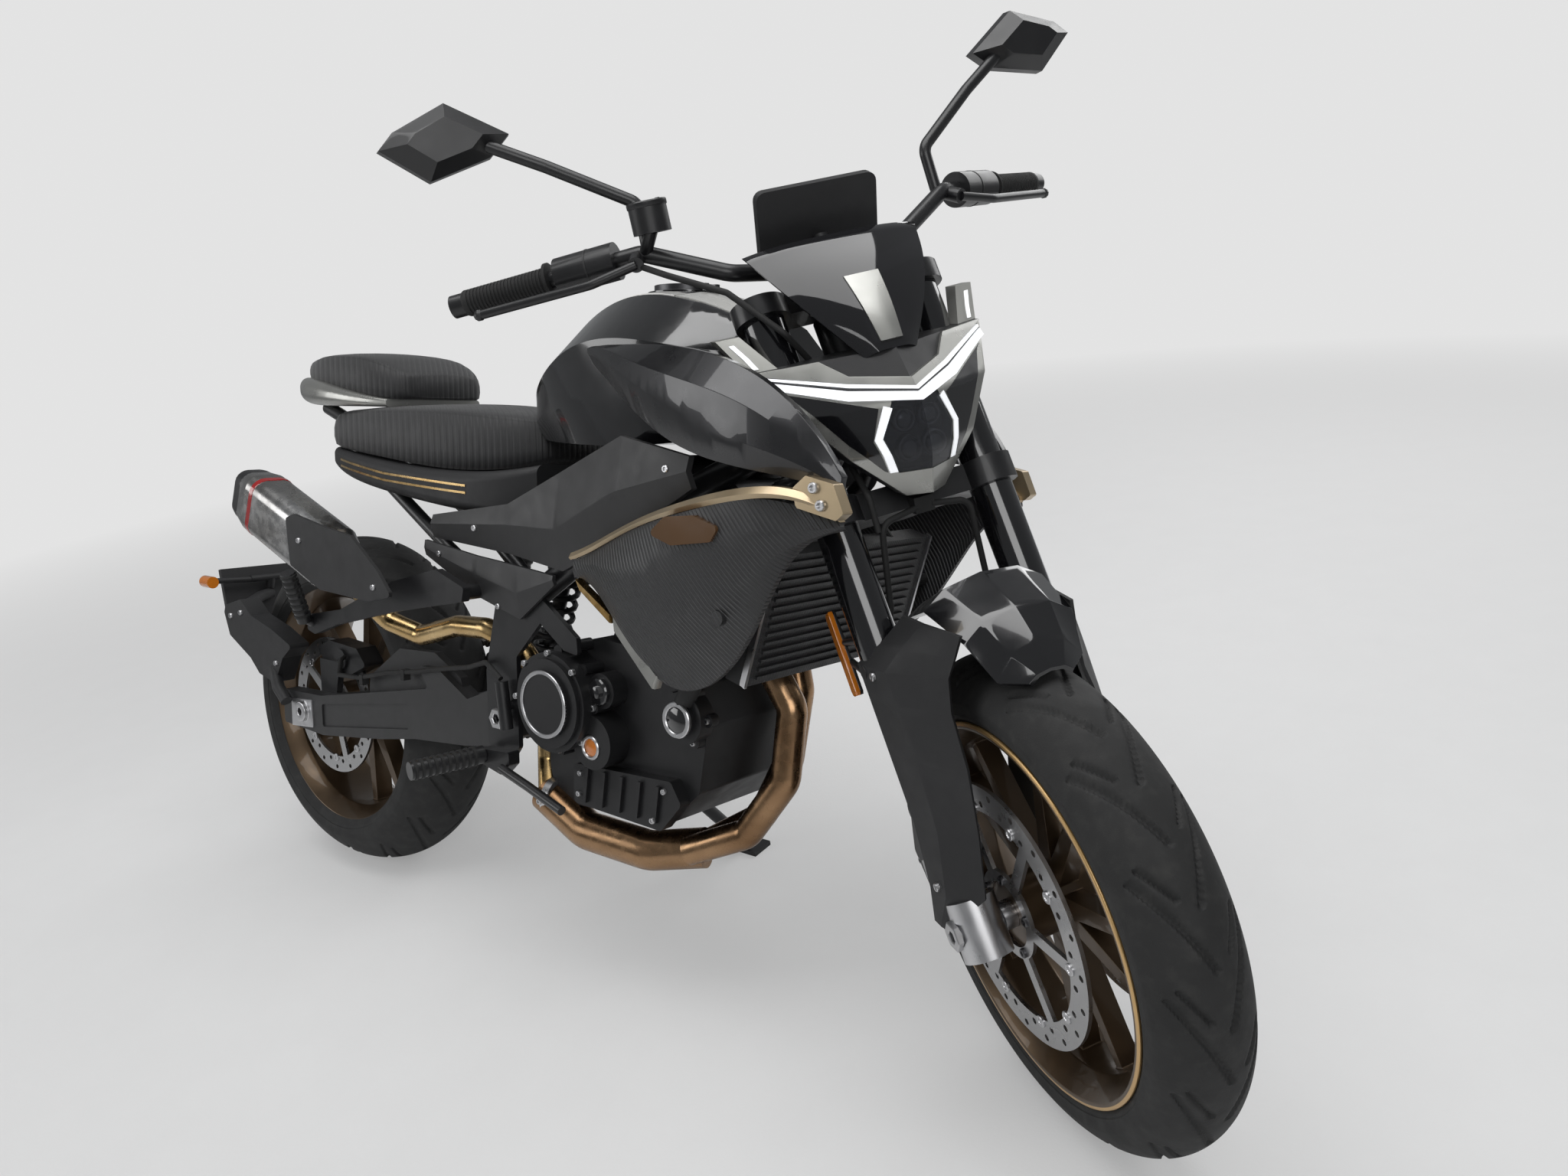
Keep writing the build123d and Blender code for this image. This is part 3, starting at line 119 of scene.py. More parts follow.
def give(item, **settings):
    """Set some of an item's properties and hand it on."""
    for name, value in settings.items():
        setattr(item, name, value)
    return item


def add_object(name, data):
    item = bpy.data.objects.new(name, data)
    bpy.context.scene.collection.objects.link(item)
    return item


def add_mesh(name, bm, finish):
    """Object of a bmesh with its finish."""
    mesh = bpy.data.meshes.new(name)
    bm.to_mesh(mesh)
    bm.free()
    mesh.materials.append(FINISHES[finish])
    return add_object(name, mesh)


# Settings

COLOUR = {"subtype": "COLOR", "size": 3, "min": 0, "max": 1}


class FinishSettings(bpy.types.PropertyGroup):
    plastic: FloatVectorProperty(
        name="Plastic", description="Colour of the grained panels", default=(0.012, 0.012, 0.013), **COLOUR)
    paint: FloatVectorProperty(
        name="Paint", description="Colour of the glossy black tank", default=(0.005, 0.005, 0.006), **COLOUR)
    accent: FloatVectorProperty(
        name="Accent", description="Colour of the pale metal trims", default=(0.46, 0.36, 0.23), **COLOUR)
    wheel: FloatVectorProperty(
        name="Wheels", description="Colour of the cast wheels", default=(0.10, 0.066, 0.038), **COLOUR)
    edge_radius: FloatProperty(
        name="Edge radius", description="Radius of the softened panel edges", subtype="DISTANCE",
        min=0.0, max=0.01, default=0.0018)


class TyreSettings(bpy.types.PropertyGroup):
    groove_depth: FloatProperty(
        name="Groove depth", description="Depth of the tread", subtype="DISTANCE",
        min=0.0, max=0.01, default=0.0042)
    groove_width: FloatProperty(
        name="Groove width", description="Width of the main grooves", subtype="DISTANCE",
        min=0.002, max=0.012, default=0.0058)
    pitches: IntProperty(name="Repeats", description="Repeats of the tread", min=6, max=40, default=15)


class SeatSettings(bpy.types.PropertyGroup):
    crown: FloatProperty(
        name="Crown", description="Height of the padded top over its edge", subtype="DISTANCE",
        min=0.0, max=0.03, default=0.010)


class StageSettings(bpy.types.PropertyGroup):
    floor: FloatVectorProperty(
        name="Floor", description="Colour of the floor", default=(0.74, 0.74, 0.74), **COLOUR)
    light: FloatProperty(name="Light", description="Strength of the soft boxes", min=0, max=5, default=1)


# Shapes: each helper adds to a bmesh in upright millimetres


def add_loft(bm, rings, cap=True, loop=False):
    """Skin rings of points with equal counts, and join the last ring to the first where asked."""
    rows = [[bm.verts.new(point) for point in ring] for ring in rings]
    count = len(rows[0])
    for row, following in zip(rows, rows[1:] + rows[:1] * loop):
        for index in range(count):
            after = (index + 1) % count
            bm.faces.new((row[index], row[after], following[after], following[index]))
    if cap:
        bm.faces.new(list(reversed(rows[0])))
        bm.faces.new(rows[-1])


def rounded_path(points, steps):
    """Points along a smooth curve through the middle of each run, tangent to the runs."""
    path = [points[0]]
    for before, corner, after in zip(points, points[1:], points[2:]):
        start = (before + corner) / 2 if before is not points[0] else before.lerp(corner, 0.4)
        end = (corner + after) / 2 if after is not points[-1] else corner.lerp(after, 0.6)
        for share in spread(0, 1, steps + 1):
            path.append(start.lerp(corner, share).lerp(corner.lerp(end, share), share))
    return path + [points[-1]]


def unit_circle(sides):
    return [(cos(2 * pi * turn / sides), sin(2 * pi * turn / sides)) for turn in range(sides)]


def add_tube(bm, points, radius, sides=12, steps=6):
    """Round tube along a smoothed path."""
    path = rounded_path([Vector(point) for point in points], steps)
    rings = []
    normal = (path[1] - path[0]).orthogonal().normalized()
    for index, centre in enumerate(path):
        tangent = (path[min(index + 1, len(path) - 1)] - path[max(index - 1, 0)]).normalized()
        normal = (normal - tangent * normal.dot(tangent)).normalized()
        side = tangent.cross(normal)
        rings.append([centre + radius * (c * normal + s * side) for c, s in unit_circle(sides)])
    add_loft(bm, rings)


def add_lathe(bm, profile, place, direction, sides, cap=True):
    """Turned form from (radius, height) rows about a direction."""
    turn = Vector(UP).rotation_difference(Vector(direction)).to_matrix().to_4x4()
    matrix = Matrix.Translation(Vector(place)) @ turn
    add_loft(bm, [[matrix @ Vector((radius * c, radius * s, height)) for c, s in unit_circle(sides)]
                  for radius, height in profile], cap)


def shrunk(outline, share):
    """A 2-D outline drawn in toward its middle."""
    middle = [sum(values) / len(outline) for values in zip(*outline)]
    return [[mid + (value - mid) * share for value, mid in zip(point, middle)] for point in outline]


def add_plate(bm, outline, thick, matrix):
    """Flat plate from an outline, its top edge drawn in a little."""
    levels = ((0.0, 1.0), (thick * 0.75, 1.0), (thick, 0.94))
    add_loft(bm, [[matrix @ Vector((x, y, height)) for x, y in shrunk(outline, share)]
                  for height, share in levels])


def add_slab(bm, outline, y_in, y_out):
    """Upright plate from an (x, z) outline, its outer edge drawn in a little."""
    levels = ((0.0, 1.0), (0.75, 1.0), (1.0, 0.96))
    add_loft(bm, [[(x, y_in + (y_out - y_in) * way, z) for x, z in shrunk(outline, share)]
                  for way, share in levels])


def add_ring(bm, place, direction, inner, outer, height, sides=32):
    """Flat-faced ring standing on a place."""
    edge = min(1.2, height / 3)
    profile = [(inner, 0), (outer, 0), (outer, height - edge), (outer - edge, height), (inner + edge, height),
               (inner, height - edge), (inner, 0)]
    add_lathe(bm, profile, place, direction, sides, cap=False)


def add_bolt(bm, place, direction, radius, height):
    """Socket-head bolt standing on a place."""
    profile = [(radius, -1.5), (radius, height * 0.7), (radius * 0.85, height), (radius * 0.52, height),
               (radius * 0.48, height * 0.4)]
    add_lathe(bm, profile, place, direction, sides=12)


def add_bolts(bm, names, body, starts, radius, height):
    """Bolts seated on built parts, looked for from each start toward the middle of the machine."""
    tree = node_tree(*names)
    for start in starts:
        heading = Vector((0, -1 if start[1] > 0 else 1, 0))
        add_bolt(bm, touch(tree, body, start, heading), -heading, radius, height)


def circle_places(x, z, radius, count, y, start=0.0):
    """Places round a circle in an upright plane along the machine."""
    angles = [start + 2 * pi * index / count for index in range(count)]
    return [(x + radius * cos(angle), y, z + radius * sin(angle)) for angle in angles]


def rounded_outline(width, height, radius):
    """Rounded rectangle about the origin."""
    points = []
    for quarter, (sx, sy) in enumerate(((1, 1), (-1, 1), (-1, -1), (1, -1))):
        for share in spread(0, 1, 6):
            angle = pi / 2 * (quarter + share)
            points.append((sx * (width / 2 - radius) + radius * cos(angle),
                           sy * (height / 2 - radius) + radius * sin(angle)))
    return points


def flipped(point):
    """The same place on the other side of the machine."""
    return Vector((point[0], -point[1], point[2]))


def spread(low, high, count):
    """Evenly spaced values from low to high."""
    return [low + (high - low) * index / (count - 1) for index in range(count)]


def curve_rows(rows, count):
    """Rows of numbers resampled along a smooth curve through them."""
    table = np.array(rows, float)
    slopes = np.gradient(table, axis=0)
    place = np.linspace(0, len(table) - 1, count)
    low = np.minimum(place.astype(int), len(table) - 2)
    t = (place - low)[:, None]
    return ((2 * t ** 3 - 3 * t ** 2 + 1) * table[low] + (t ** 3 - 2 * t ** 2 + t) * slopes[low]
            + (3 * t ** 2 - 2 * t ** 3) * table[low + 1] + (t ** 3 - t ** 2) * slopes[low + 1])


def add_skin(bm, front, back):
    """Closed sheet between two equal grids of points."""
    tops, under = ([[bm.verts.new(point) for point in row] for row in grid] for grid in (front, back))
    last_row, last_column = len(tops) - 1, len(tops[0]) - 1
    for r in range(last_row):
        for c in range(last_column):
            bm.faces.new((tops[r][c], tops[r][c + 1], tops[r + 1][c + 1], tops[r + 1][c]))
            bm.faces.new((under[r][c], under[r + 1][c], under[r + 1][c + 1], under[r][c + 1]))
    rim = [(0, c) for c in range(last_column)] + [(r, last_column) for r in range(last_row)]
    rim += [(last_row, c) for c in range(last_column, 0, -1)] + [(r, 0) for r in range(last_row, 0, -1)]
    for (r0, c0), (r1, c1) in zip(rim, rim[1:] + rim[:1]):
        bm.faces.new((tops[r0][c0], under[r0][c0], under[r1][c1], tops[r1][c1]))


def add_draped(bm, tree, body, rows, direction, lift, sink=1.0):
    """Sheet laid on built parts: a grid of start points cast along a direction."""
    heading = Vector(direction)
    hits = [[touch(tree, body, start, heading) for start in row] for row in rows]
    add_skin(bm, *([[hit + heading * depth for hit in row] for row in hits] for depth in (-lift, sink)))


def band_rows(edge_a, edge_b, steps=8, across=3):
    """Grid of points between two edges with equal counts of corners."""
    rows = []
    runs = list(zip(edge_a, edge_a[1:], edge_b, edge_b[1:]))
    for number, (a0, a1, b0, b1) in enumerate(runs):
        for step in range(steps + (number == len(runs) - 1)):
            start = Vector(a0).lerp(Vector(a1), step / steps)
            end = Vector(b0).lerp(Vector(b1), step / steps)
            rows.append([start.lerp(end, share) for share in spread(0, 1, across)])
    return rows


def make_piece(name, bm, body, finish, slot=None, replaces=(), sharp=35.0):
    """Bake a bmesh into the parked frame as an object with its finish, riding on a body."""
    bmesh.ops.recalc_face_normals(bm, faces=bm.faces)
    bm.transform(FRAMES[body])
    piece = add_mesh(name, bm, finish)
    piece.data.shade_smooth()
    piece.data.set_sharp_from_angle(angle=radians(sharp))
    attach(piece, body)
    if replaces:
        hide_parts(*replaces)
    return piece


def node_tree(*names):
    """A search tree over built nodes, in parked metres."""
    verts = []
    faces = []
    for name in names:
        mesh = frame["nodes"][name].data
        start = len(verts)
        verts += [vert.co.copy() for vert in mesh.vertices]
        faces += [[start + index for index in face.vertices] for face in mesh.polygons]
    return BVHTree.FromPolygons(verts, faces)


def touch(tree, body, start, direction):
    """Where a ray from an upright place first meets the tree, in upright terms."""
    matrix = FRAMES[body]
    heading = (matrix.to_3x3() @ Vector(direction)).normalized()
    hit = tree.ray_cast(matrix @ Vector(start), heading)[0]
    if hit is None:
        raise RuntimeError(f"nothing to seat on from {tuple(start)}")
    return matrix.inverted() @ hit


def make_pieces(body, *rows):
    """Pieces from rows of a name, a bmesh, a finish and, where it differs, a slot, which is not used."""
    for name, bm, finish, *slot in rows:
        make_piece(name, bm, body, finish, *slot)


def new_meshes(count):
    return [bmesh.new() for number in range(count)]


# Finishes

GRAIN_SCALE = 900.0
PATCH_SCALE = 9.0
SMUDGE_SCALE = 34.0


def fill(tree, node, sockets):
    """Give sockets their values or colours, or link them to other nodes' outputs."""
    for name, value in sockets.items():
        socket = node.inputs[name]
        if isinstance(value, bpy.types.NodeSocket):
            tree.links.new(value, socket)
        else:
            socket.default_value = (*value, 1) if socket.type == "RGBA" else value


def add_node(tree, kind, sockets, output=0, **settings):
    """One output of a new shader node."""
    node = give(tree.nodes.new("ShaderNode" + kind), **settings)
    fill(tree, node, sockets)
    return node.outputs[output]


def new_material(name):
    """Tree, shader and object coordinates of a new finish."""
    material = bpy.data.materials.new(name)
    material.use_nodes = True
    FINISHES[name] = material
    tree = material.node_tree
    tree.nodes.clear()
    output = tree.nodes.new("ShaderNodeOutputMaterial")
    shader = tree.nodes.new("ShaderNodeBsdfPrincipled")
    fill(tree, output, {"Surface": shader.outputs["BSDF"]})
    return tree, shader, add_node(tree, "TexCoord", {}, "Object")


def noise(tree, where, scale, detail=4.0, stretch=None):
    """Noise in object space, stretched along an axis where asked."""
    if stretch:
        where = add_node(tree, "Mapping", {"Vector": where, "Scale": stretch})
    return add_node(tree, "TexNoise", {"Vector": where, "Scale": scale, "Detail": detail}, "Fac")


def measure(tree, operation, where, other=None):
    """Length of a place, its distance from another, or its measure along a direction."""
    sockets = {0: where} if other is None else {0: where, 1: other}
    return add_node(tree, "VectorMath", sockets, "Value", operation=operation)


def blend_colours(tree, factor, low, high):
    """Colour between two, by a factor that varies over the surface."""
    return add_node(tree, "Mix", {"Factor": factor, "A": low, "B": high}, "Result", data_type="RGBA")


def lay_over(tree, shader, factor, colour):
    """Blend a colour over the shader's own."""
    base = shader.inputs["Base Color"].links[0].from_socket
    fill(tree, shader, {"Base Color": blend_colours(tree, factor, base, colour)})


def remap(tree, value, low, high, start=0.3, end=0.7):
    """A varying value carried to a new range."""
    limits = {"From Min": start, "From Max": end, "To Min": low, "To Max": high}
    return add_node(tree, "MapRange", {"Value": value, **limits}, "Result")


def add_bump(tree, shader, height, depth):
    """Bump of a real depth in metres, over any bump that the shader has already."""
    sockets = {"Strength": 1.0, "Distance": depth, "Height": height}
    if shader.inputs["Normal"].is_linked:
        sockets["Normal"] = shader.inputs["Normal"].links[0].from_socket
    fill(tree, shader, {"Normal": add_node(tree, "Bump", sockets, "Normal")})


def surface(name, colour, metallic, roughness, coat=0.0, mottle=0.12, grain=0.0,
            grain_scale=GRAIN_SCALE, uneven=0.06):
    """A painted, moulded or metal finish with mottled colour, uneven gloss and a fine grain."""
    tree, shader, where = new_material(name)
    low = [channel * (1 - mottle) for channel in colour]
    high = [min(1.0, channel * (1 + mottle)) for channel in colour]
    smudge = noise(tree, where, SMUDGE_SCALE, 6.0)
    fill(tree, shader, {
        "Base Color": blend_colours(tree, noise(tree, where, PATCH_SCALE, 5.0), low, high),
        "Roughness": remap(tree, smudge, roughness - uneven, roughness + uneven),
        "Metallic": metallic, "Coat Weight": coat, "Coat Roughness": 0.04})
    if grain:
        add_bump(tree, shader, noise(tree, where, grain_scale, 2.0), grain)
    return tree, shader, where


# Finish: colour, metallic, roughness, coat, grain depth in metres, grain scale
PLAIN_FINISHES = {
    "satin_black": ((0.009, 0.009, 0.010), 0.0, 0.38, 0.15, 0.00002, 1400),
    "engine_black": ((0.012, 0.012, 0.013), 0.2, 0.44, 0.0, 0.00010, 700),
    "aluminium": ((0.56, 0.56, 0.57), 1.0, 0.30, 0.0, 0.00004, 900),
    "dark_metal": ((0.11, 0.11, 0.115), 1.0, 0.36, 0.0, 0.00004, 900),
    "chain_steel": ((0.34, 0.32, 0.29), 1.0, 0.38, 0.0, 0.00004, 1200),
    "rubber": ((0.010, 0.010, 0.010), 0.0, 0.72, 0.0, 0.00006, 900),
    "red_lens": ((0.30, 0.006, 0.006), 0.0, 0.12, 1.0, 0.0, 900),
    "amber": ((0.55, 0.16, 0.01), 0.0, 0.16, 1.0, 0.0, 900),
    "silver": ((0.36, 0.36, 0.34), 0.8, 0.30, 0.5, 0.00001, 1800),
    "mirror": ((0.80, 0.81, 0.83), 1.0, 0.04, 0.0, 0.0, 900),
}
# Low and high colour of the heat tints on stainless pipes
HEAT_TINTS = {
    "heat_steel": ((0.20, 0.115, 0.060), (0.40, 0.25, 0.14)),
    "gold_steel": ((0.40, 0.25, 0.09), (0.68, 0.50, 0.26)),
    "steel": ((0.30, 0.29, 0.28), (0.52, 0.52, 0.52)),
}
# Raised lines: colour, roughness, direction across them, pitch and depth in metres, sheen
LINED_FINISHES = {
    "shroud_lines": ((0.024, 0.024, 0.025), 0.44, (0.75, 0, 0.66), 0.0058, 0.0011, 0.0),
    "seat_cover": ((0.012, 0.012, 0.013), 0.60, (0.5, 0.8, 0), 0.0090, 0.0006, 0.15),
    "radiator_fins": ((0.018, 0.018, 0.019), 0.45, (0, 1, 0), 0.0030, 0.0008, 0.0),
}
# Distance from the axle over which a rim turns gold, in metres
GOLD_EDGE = (0.2262, 0.2268)
WHEEL_GOLD = (0.62, 0.40, 0.17)
TYRE_DUST = (0.036, 0.035, 0.033)
ARM_SILVER = (0.34, 0.34, 0.32)
# Height over which the lamp shell is silver
LAMP_TOP = 948.5


def make_plain_finishes(settings):
    for name, (colour, metallic, roughness, coat, grain, scale) in PLAIN_FINISHES.items():
        surface(name, colour, metallic, roughness, coat, grain=grain, grain_scale=scale,
                uneven=min(0.05, roughness / 2))
    surface("black_plastic", settings.plastic, 0.0, 0.56, grain=0.00012, grain_scale=1100)
    surface("gloss_black", settings.paint, 0.0, 0.14, 1.0, uneven=0.03)
    surface("gunmetal", (0.020, 0.020, 0.022), 0.5, 0.30, 0.6, grain=0.00001, grain_scale=2600)
    surface("champagne", settings.accent, 0.85, 0.34, 0.3, grain=0.00002, grain_scale=2200)
    surface("panel_grey", (0.022, 0.022, 0.023), 0.0, 0.46, grain=0.00008, grain_scale=1200)
    # Pale grey laid over the top of the tank, in panels round the filler's collar.
    surface("pale_paint", (0.56, 0.555, 0.53), 0.15, 0.28, 0.7, mottle=0.03)
    surface("signal_lens", (0.085, 0.040, 0.012), 0.0, 0.10, 1.0, uneven=0.03)
    surface("screen_glass", (0.010, 0.010, 0.012), 0.0, 0.08, 1.0, uneven=0.03)


def make_wheel_finishes(settings):
    """Bronze castings with gold flange edges, and ground discs with fine circular lines."""
    for end, joint in (("", "rear_wheel_spin"), ("_front", "front_wheel_spin")):
        centre, axis = joint_line(joint)
        tree, shader, where = surface("bronze_wheel" + end, settings.wheel, 0.8, 0.34, 0.35)
        shift = add_node(tree, "VectorMath", {0: where, 1: centre}, "Vector", operation="SUBTRACT")
        cross = add_node(tree, "VectorMath", {0: shift, 1: axis}, "Vector", operation="CROSS_PRODUCT")
        edge = remap(tree, measure(tree, "LENGTH", cross), 0.0, 1.0, *GOLD_EDGE)
        lay_over(tree, shader, edge, WHEEL_GOLD)
        tree, shader, where = surface("disc_steel" + end, (0.42, 0.42, 0.425), 1.0, 0.30)
        away = measure(tree, "DISTANCE", where, centre)
        lines = add_node(tree, "TexNoise", {"W": away, "Scale": 2400}, "Fac", noise_dimensions="1D")
        add_bump(tree, shader, lines, 0.00005)


def make_tyre_finish():
    tree, shader, where = surface("tyre", (0.013,) * 3, 0.0, 0.74, grain=0.00016, grain_scale=520)
    lay_over(tree, shader, remap(tree, noise(tree, where, 60.0, 8.0), 0.0, 0.5, 0.50, 0.80), TYRE_DUST)


def make_heat_finishes():
    """Stainless pipes with heat tints in bands."""
    for name, (low, high) in HEAT_TINTS.items():
        tree, shader, where = new_material(name)
        bands = remap(tree, noise(tree, where, 7.0, 3.0, (1.0, 1.0, 2.2)), 0.0, 1.0)
        streaks = remap(tree, noise(tree, where, 60.0), 0.18, 0.34)
        tint = blend_colours(tree, bands, low, high)
        fill(tree, shader, {"Base Color": tint, "Roughness": streaks, "Metallic": 1.0})
        add_bump(tree, shader, noise(tree, where, 1500.0, 2.0), 0.00002)


def make_lamp_shell():
    """Black plastic below, silver on the two arms that stand over the lamp."""
    tree, shader, where = surface("lamp_shell", (0.012, 0.012, 0.013), 0.0, 0.45, grain=0.0001)
    up = (STEERED.to_3x3() @ Vector(UP)).normalized()
    level = (STEERED @ Vector((1200, 0, LAMP_TOP))).dot(up)
    above = remap(tree, measure(tree, "DOT_PRODUCT", where, up), 0.0, 1.0, level, level + 0.0005)
    lay_over(tree, shader, above, ARM_SILVER)
    fill(tree, shader, {"Metallic": remap(tree, above, 0.0, 0.8, 0.0, 1.0)})


def make_lined_finishes():
    """Grained surfaces with fine raised lines across a direction."""
    for name, (colour, roughness, direction, pitch, depth, sheen) in LINED_FINISHES.items():
        tree, shader, where = surface(name, colour, 0.0, roughness, grain=0.00006)
        across = (LEANED.to_3x3() @ Vector(direction)).normalized()
        place = measure(tree, "DOT_PRODUCT", where, across)
        wave = add_node(tree, "Math", {0: place, 1: pitch / 2}, operation="PINGPONG")
        add_bump(tree, shader, remap(tree, wave, 0.0, 1.0, pitch * 0.12, pitch * 0.30), depth)
        fill(tree, shader, {"Sheen Weight": sheen})


def make_clear_finishes():
    """Smoked screen, clear lens and white bars whose glow is painted: it stands for a reflection of the
    bright surround.
    """
    tree, shader, where = surface("smoked", (0.016, 0.016, 0.018), 0.0, 0.06, 1.0, uneven=0.02)
    fill(tree, shader, {"Transmission Weight": 0.40, "IOR": 1.2})
    tree, shader, where = surface("clear_lens", (0.30, 0.31, 0.34), 0.0, 0.04, mottle=0.02, uneven=0.01)
    fill(tree, shader, {"Transmission Weight": 0.95, "IOR": 1.3})
    tree, shader, where = surface("bar_painted_glow", (0.90, 0.91, 0.93), 0.0, 0.20, 0.8, mottle=0.02)
    # The bars' glow is painted light: their emission stands for a reflection of the bright surround, not for
    # lamp light.
    glow = blend_colours(tree, noise(tree, where, 30.0), (0.80, 0.82, 0.86), (0.90, 0.92, 0.95))
    fill(tree, shader, {"Emission Color": glow, "Emission Strength": 0.55})


# Finish of each built node
NODE_FINISHES = {
    "satin_black": ["frame", "subframe", "yokes", "handlebar", "footrests", "foot_controls", "side_stand",
                    "mirrors", "hand_controls", "front_calipers", "rear_caliper"],
    "engine_black": ["crankcase", "cylinder_block", "engine_covers"],
    "black_plastic": ["plate_holder", "heat_shield", "fork_guards", "seat_base", "display"],
    "lamp_shell": ["headlight"],
    "panel_grey": ["side_panels", "frame_covers", "swingarm"],
    "gloss_black": ["fuel_tank", "mudguard", "fork_tubes"],
    "gunmetal": ["tank_wings"],
    "champagne": ["shroud_trims"],
    "rubber": ["coolant_hoses", "grips", "pillion_seat", "rider_seat", "brake_hoses", "rear_brake_hose"],
    "heat_steel": ["headers"],
    "gold_steel": ["mid_pipe"],
    "steel": ["silencer"],
    "bronze_wheel": ["rear_rim"],
    "bronze_wheel_front": ["front_rim"],
    "disc_steel": ["rear_disc"],
    "disc_steel_front": ["front_discs"],
    "dark_metal": ["rear_sprocket", "fuel_cap", "shock"],
    "aluminium": ["rear_axle", "fork_feet"],
    "silver": ["headlight_frame", "tail_cowl"],
    "amber": ["rear_signals"],
    "signal_lens": ["front_signals"],
    "chain_steel": ["chain"],
    "red_lens": ["tail_light"],
    "smoked": ["flyscreen"],
    "clear_lens": ["headlight_lens"],
    "shroud_lines": ["shrouds"],
    "radiator_fins": ["radiator"],
    "tyre": ["front_tyre", "rear_tyre"],
}
SHARP_NODES = {"chain", "rear_disc", "front_discs", "front_tyre", "rear_tyre", "headlight_lens"}


def soften(piece, radius):
    """Rounded edges on a built node, by modifiers that leave its mesh as it is."""
    add = piece.modifiers.new
    give(add("weld", "WELD"), merge_threshold=0.00001)
    give(add("soft_edges", "BEVEL"), width=radius, segments=2, limit_method="ANGLE",
         angle_limit=radians(28), use_clamp_overlap=True)
    give(add("even_shading", "WEIGHTED_NORMAL"), keep_sharp=False)


class MOTORCYCLE_OT_finishes(bpy.types.Operator):
    """Make every finish and give each built piece its own"""

    bl_idname = "motorcycle.finishes"
    bl_label = "Finish built pieces"

    def execute(self, context):
        settings = context.scene.motorcycle_finish
        make_plain_finishes(settings)
        make_wheel_finishes(settings)
        make_tyre_finish()
        make_heat_finishes()
        make_lined_finishes()
        make_clear_finishes()
        make_lamp_shell()
        for finish, names in NODE_FINISHES.items():
            for name in names:
                node = frame["nodes"][name]
                node.data.materials.clear()
                node.data.materials.append(FINISHES[finish])
                if name not in SHARP_NODES:
                    soften(node, settings.edge_radius)
        return {"FINISHED"}


# Tyres

# Tyre: axle x, axle z, radius, half width, crown radius, steps across the crown
TYRES = {
    "front": (WHEELBASE, FRONT_AXLE_Z, 300.0, 60.0, 62.0, 56),
    "rear": (0.0, REAR_AXLE_Z, 315.0, 90.0, 97.0, 72),
}
# Groove in one repeat, as (share of the pitch, share of the half width) points from the middle outward
MAIN_GROOVE = [(0.02, 0.04), (0.16, 0.16), (0.36, 0.34), (0.60, 0.58), (0.84, 0.80)]
SHORT_GROOVE = [(0.62, 0.30), (0.78, 0.50), (0.92, 0.66)]
# Sloped wall of a groove: its outer edge past the groove's half width, and its width
WALL_OUT, WALL_WIDTH = 1.2, 2.0
# Side wall from the bead outward: distance inside the half width, radius
SIDE_WALL = [(12, 223.0), (4.5, 233.5), (3.0, 236.0), (2.8, 238.5), (1.4, 239.4), (1.2, 246.0)]
BAND_STEPS = 840


def groove_distance(along, across, groove, pitch, half):
    """Distance in mm of each grid point from a groove's runs."""
    nearest = np.full(along.shape, 1e9)
    for (u0, v0), (u1, v1) in zip(groove, groove[1:]):
        start = np.array((u0 * pitch, v0 * half))
        run = np.array((u1 * pitch, v1 * half)) - start
        for turn in (-1, 0, 1):
            dx = along + turn * pitch - start[0]
            dy = across - start[1]
            share = np.clip((dx * run[0] + dy * run[1]) / (run @ run), 0, 1)
            nearest = np.minimum(nearest, np.hypot(dx - share * run[0], dy - share * run[1]))
    return nearest


def tyre_profile(radius, half, crown, columns):
    """Rows of (lateral place, radius, share of tread depth) from bead to bead."""
    side = [(half - inset, reach, 0) for inset, reach in SIDE_WALL]
    angles = [np.arcsin(half / crown) * share for share in spread(-1, 1, columns + 1)]
    tread = [(crown * sin(angle), radius - crown + crown * cos(angle), 1) for angle in angles]
    return [(-y, reach, 0) for y, reach, tread_share in side] + tread + side[::-1]


def build_tyre(name, settings):
    axle_x, axle_z, radius, half, crown, columns = TYRES[name]
    lateral, reach, treaded = np.array(tyre_profile(radius, half, crown, columns), float).T
    pitch = 2 * pi * radius / settings.pitches
    angle = np.arange(BAND_STEPS) * 2 * pi / BAND_STEPS
    along, across = np.meshgrid(angle * radius % pitch, lateral, indexing="ij")
    depth = np.zeros(along.shape)
    for side, slip in ((1, 0.0), (-1, 0.5)):
        for groove, width in ((MAIN_GROOVE, 1.0), (SHORT_GROOVE, 0.8)):
            moved = (along + slip * pitch) % pitch
            away = groove_distance(moved, across * side, groove, pitch, half)
            wide = settings.groove_width / MM * width / 2
            cut = np.clip((wide + WALL_OUT - away) / WALL_WIDTH, 0, 1)
            depth = np.maximum(depth, cut * settings.groove_depth / MM)
    solid = reach - depth * treaded
    x = axle_x + solid * np.cos(angle)[:, None]
    z = axle_z + solid * np.sin(angle)[:, None]
    bm = bmesh.new()
    add_loft(bm, np.stack((x, np.broadcast_to(lateral, x.shape), z), axis=2), cap=False, loop=True)
    make_piece(f"{name}_tyre_tread", bm, f"{name}_wheel", "tyre", replaces=[f"{name}_tyre"], sharp=40)


class MOTORCYCLE_OT_tyres(bpy.types.Operator):
    """Grooved tyres with round crowns and moulded side walls"""

    bl_idname = "motorcycle.tyres"
    bl_label = "Tyres"

    def execute(self, context):
        for name in TYRES:
            build_tyre(name, context.scene.motorcycle_tyre)
        return {"FINISHED"}


# Seats

# Columns: x, half width, lower edge and top of the cushion
RIDER_ROWS = [(92, 118, 806, 866), (240, 132, 792, 872), (420, 130, 776, 872), (540, 108, 776, 862),
              (618, 66, 790, 850)]
PILLION_ROWS = [(-78, 56, 930, 958), (40, 100, 908, 968), (180, 108, 892, 962), (268, 84, 886, 930)]
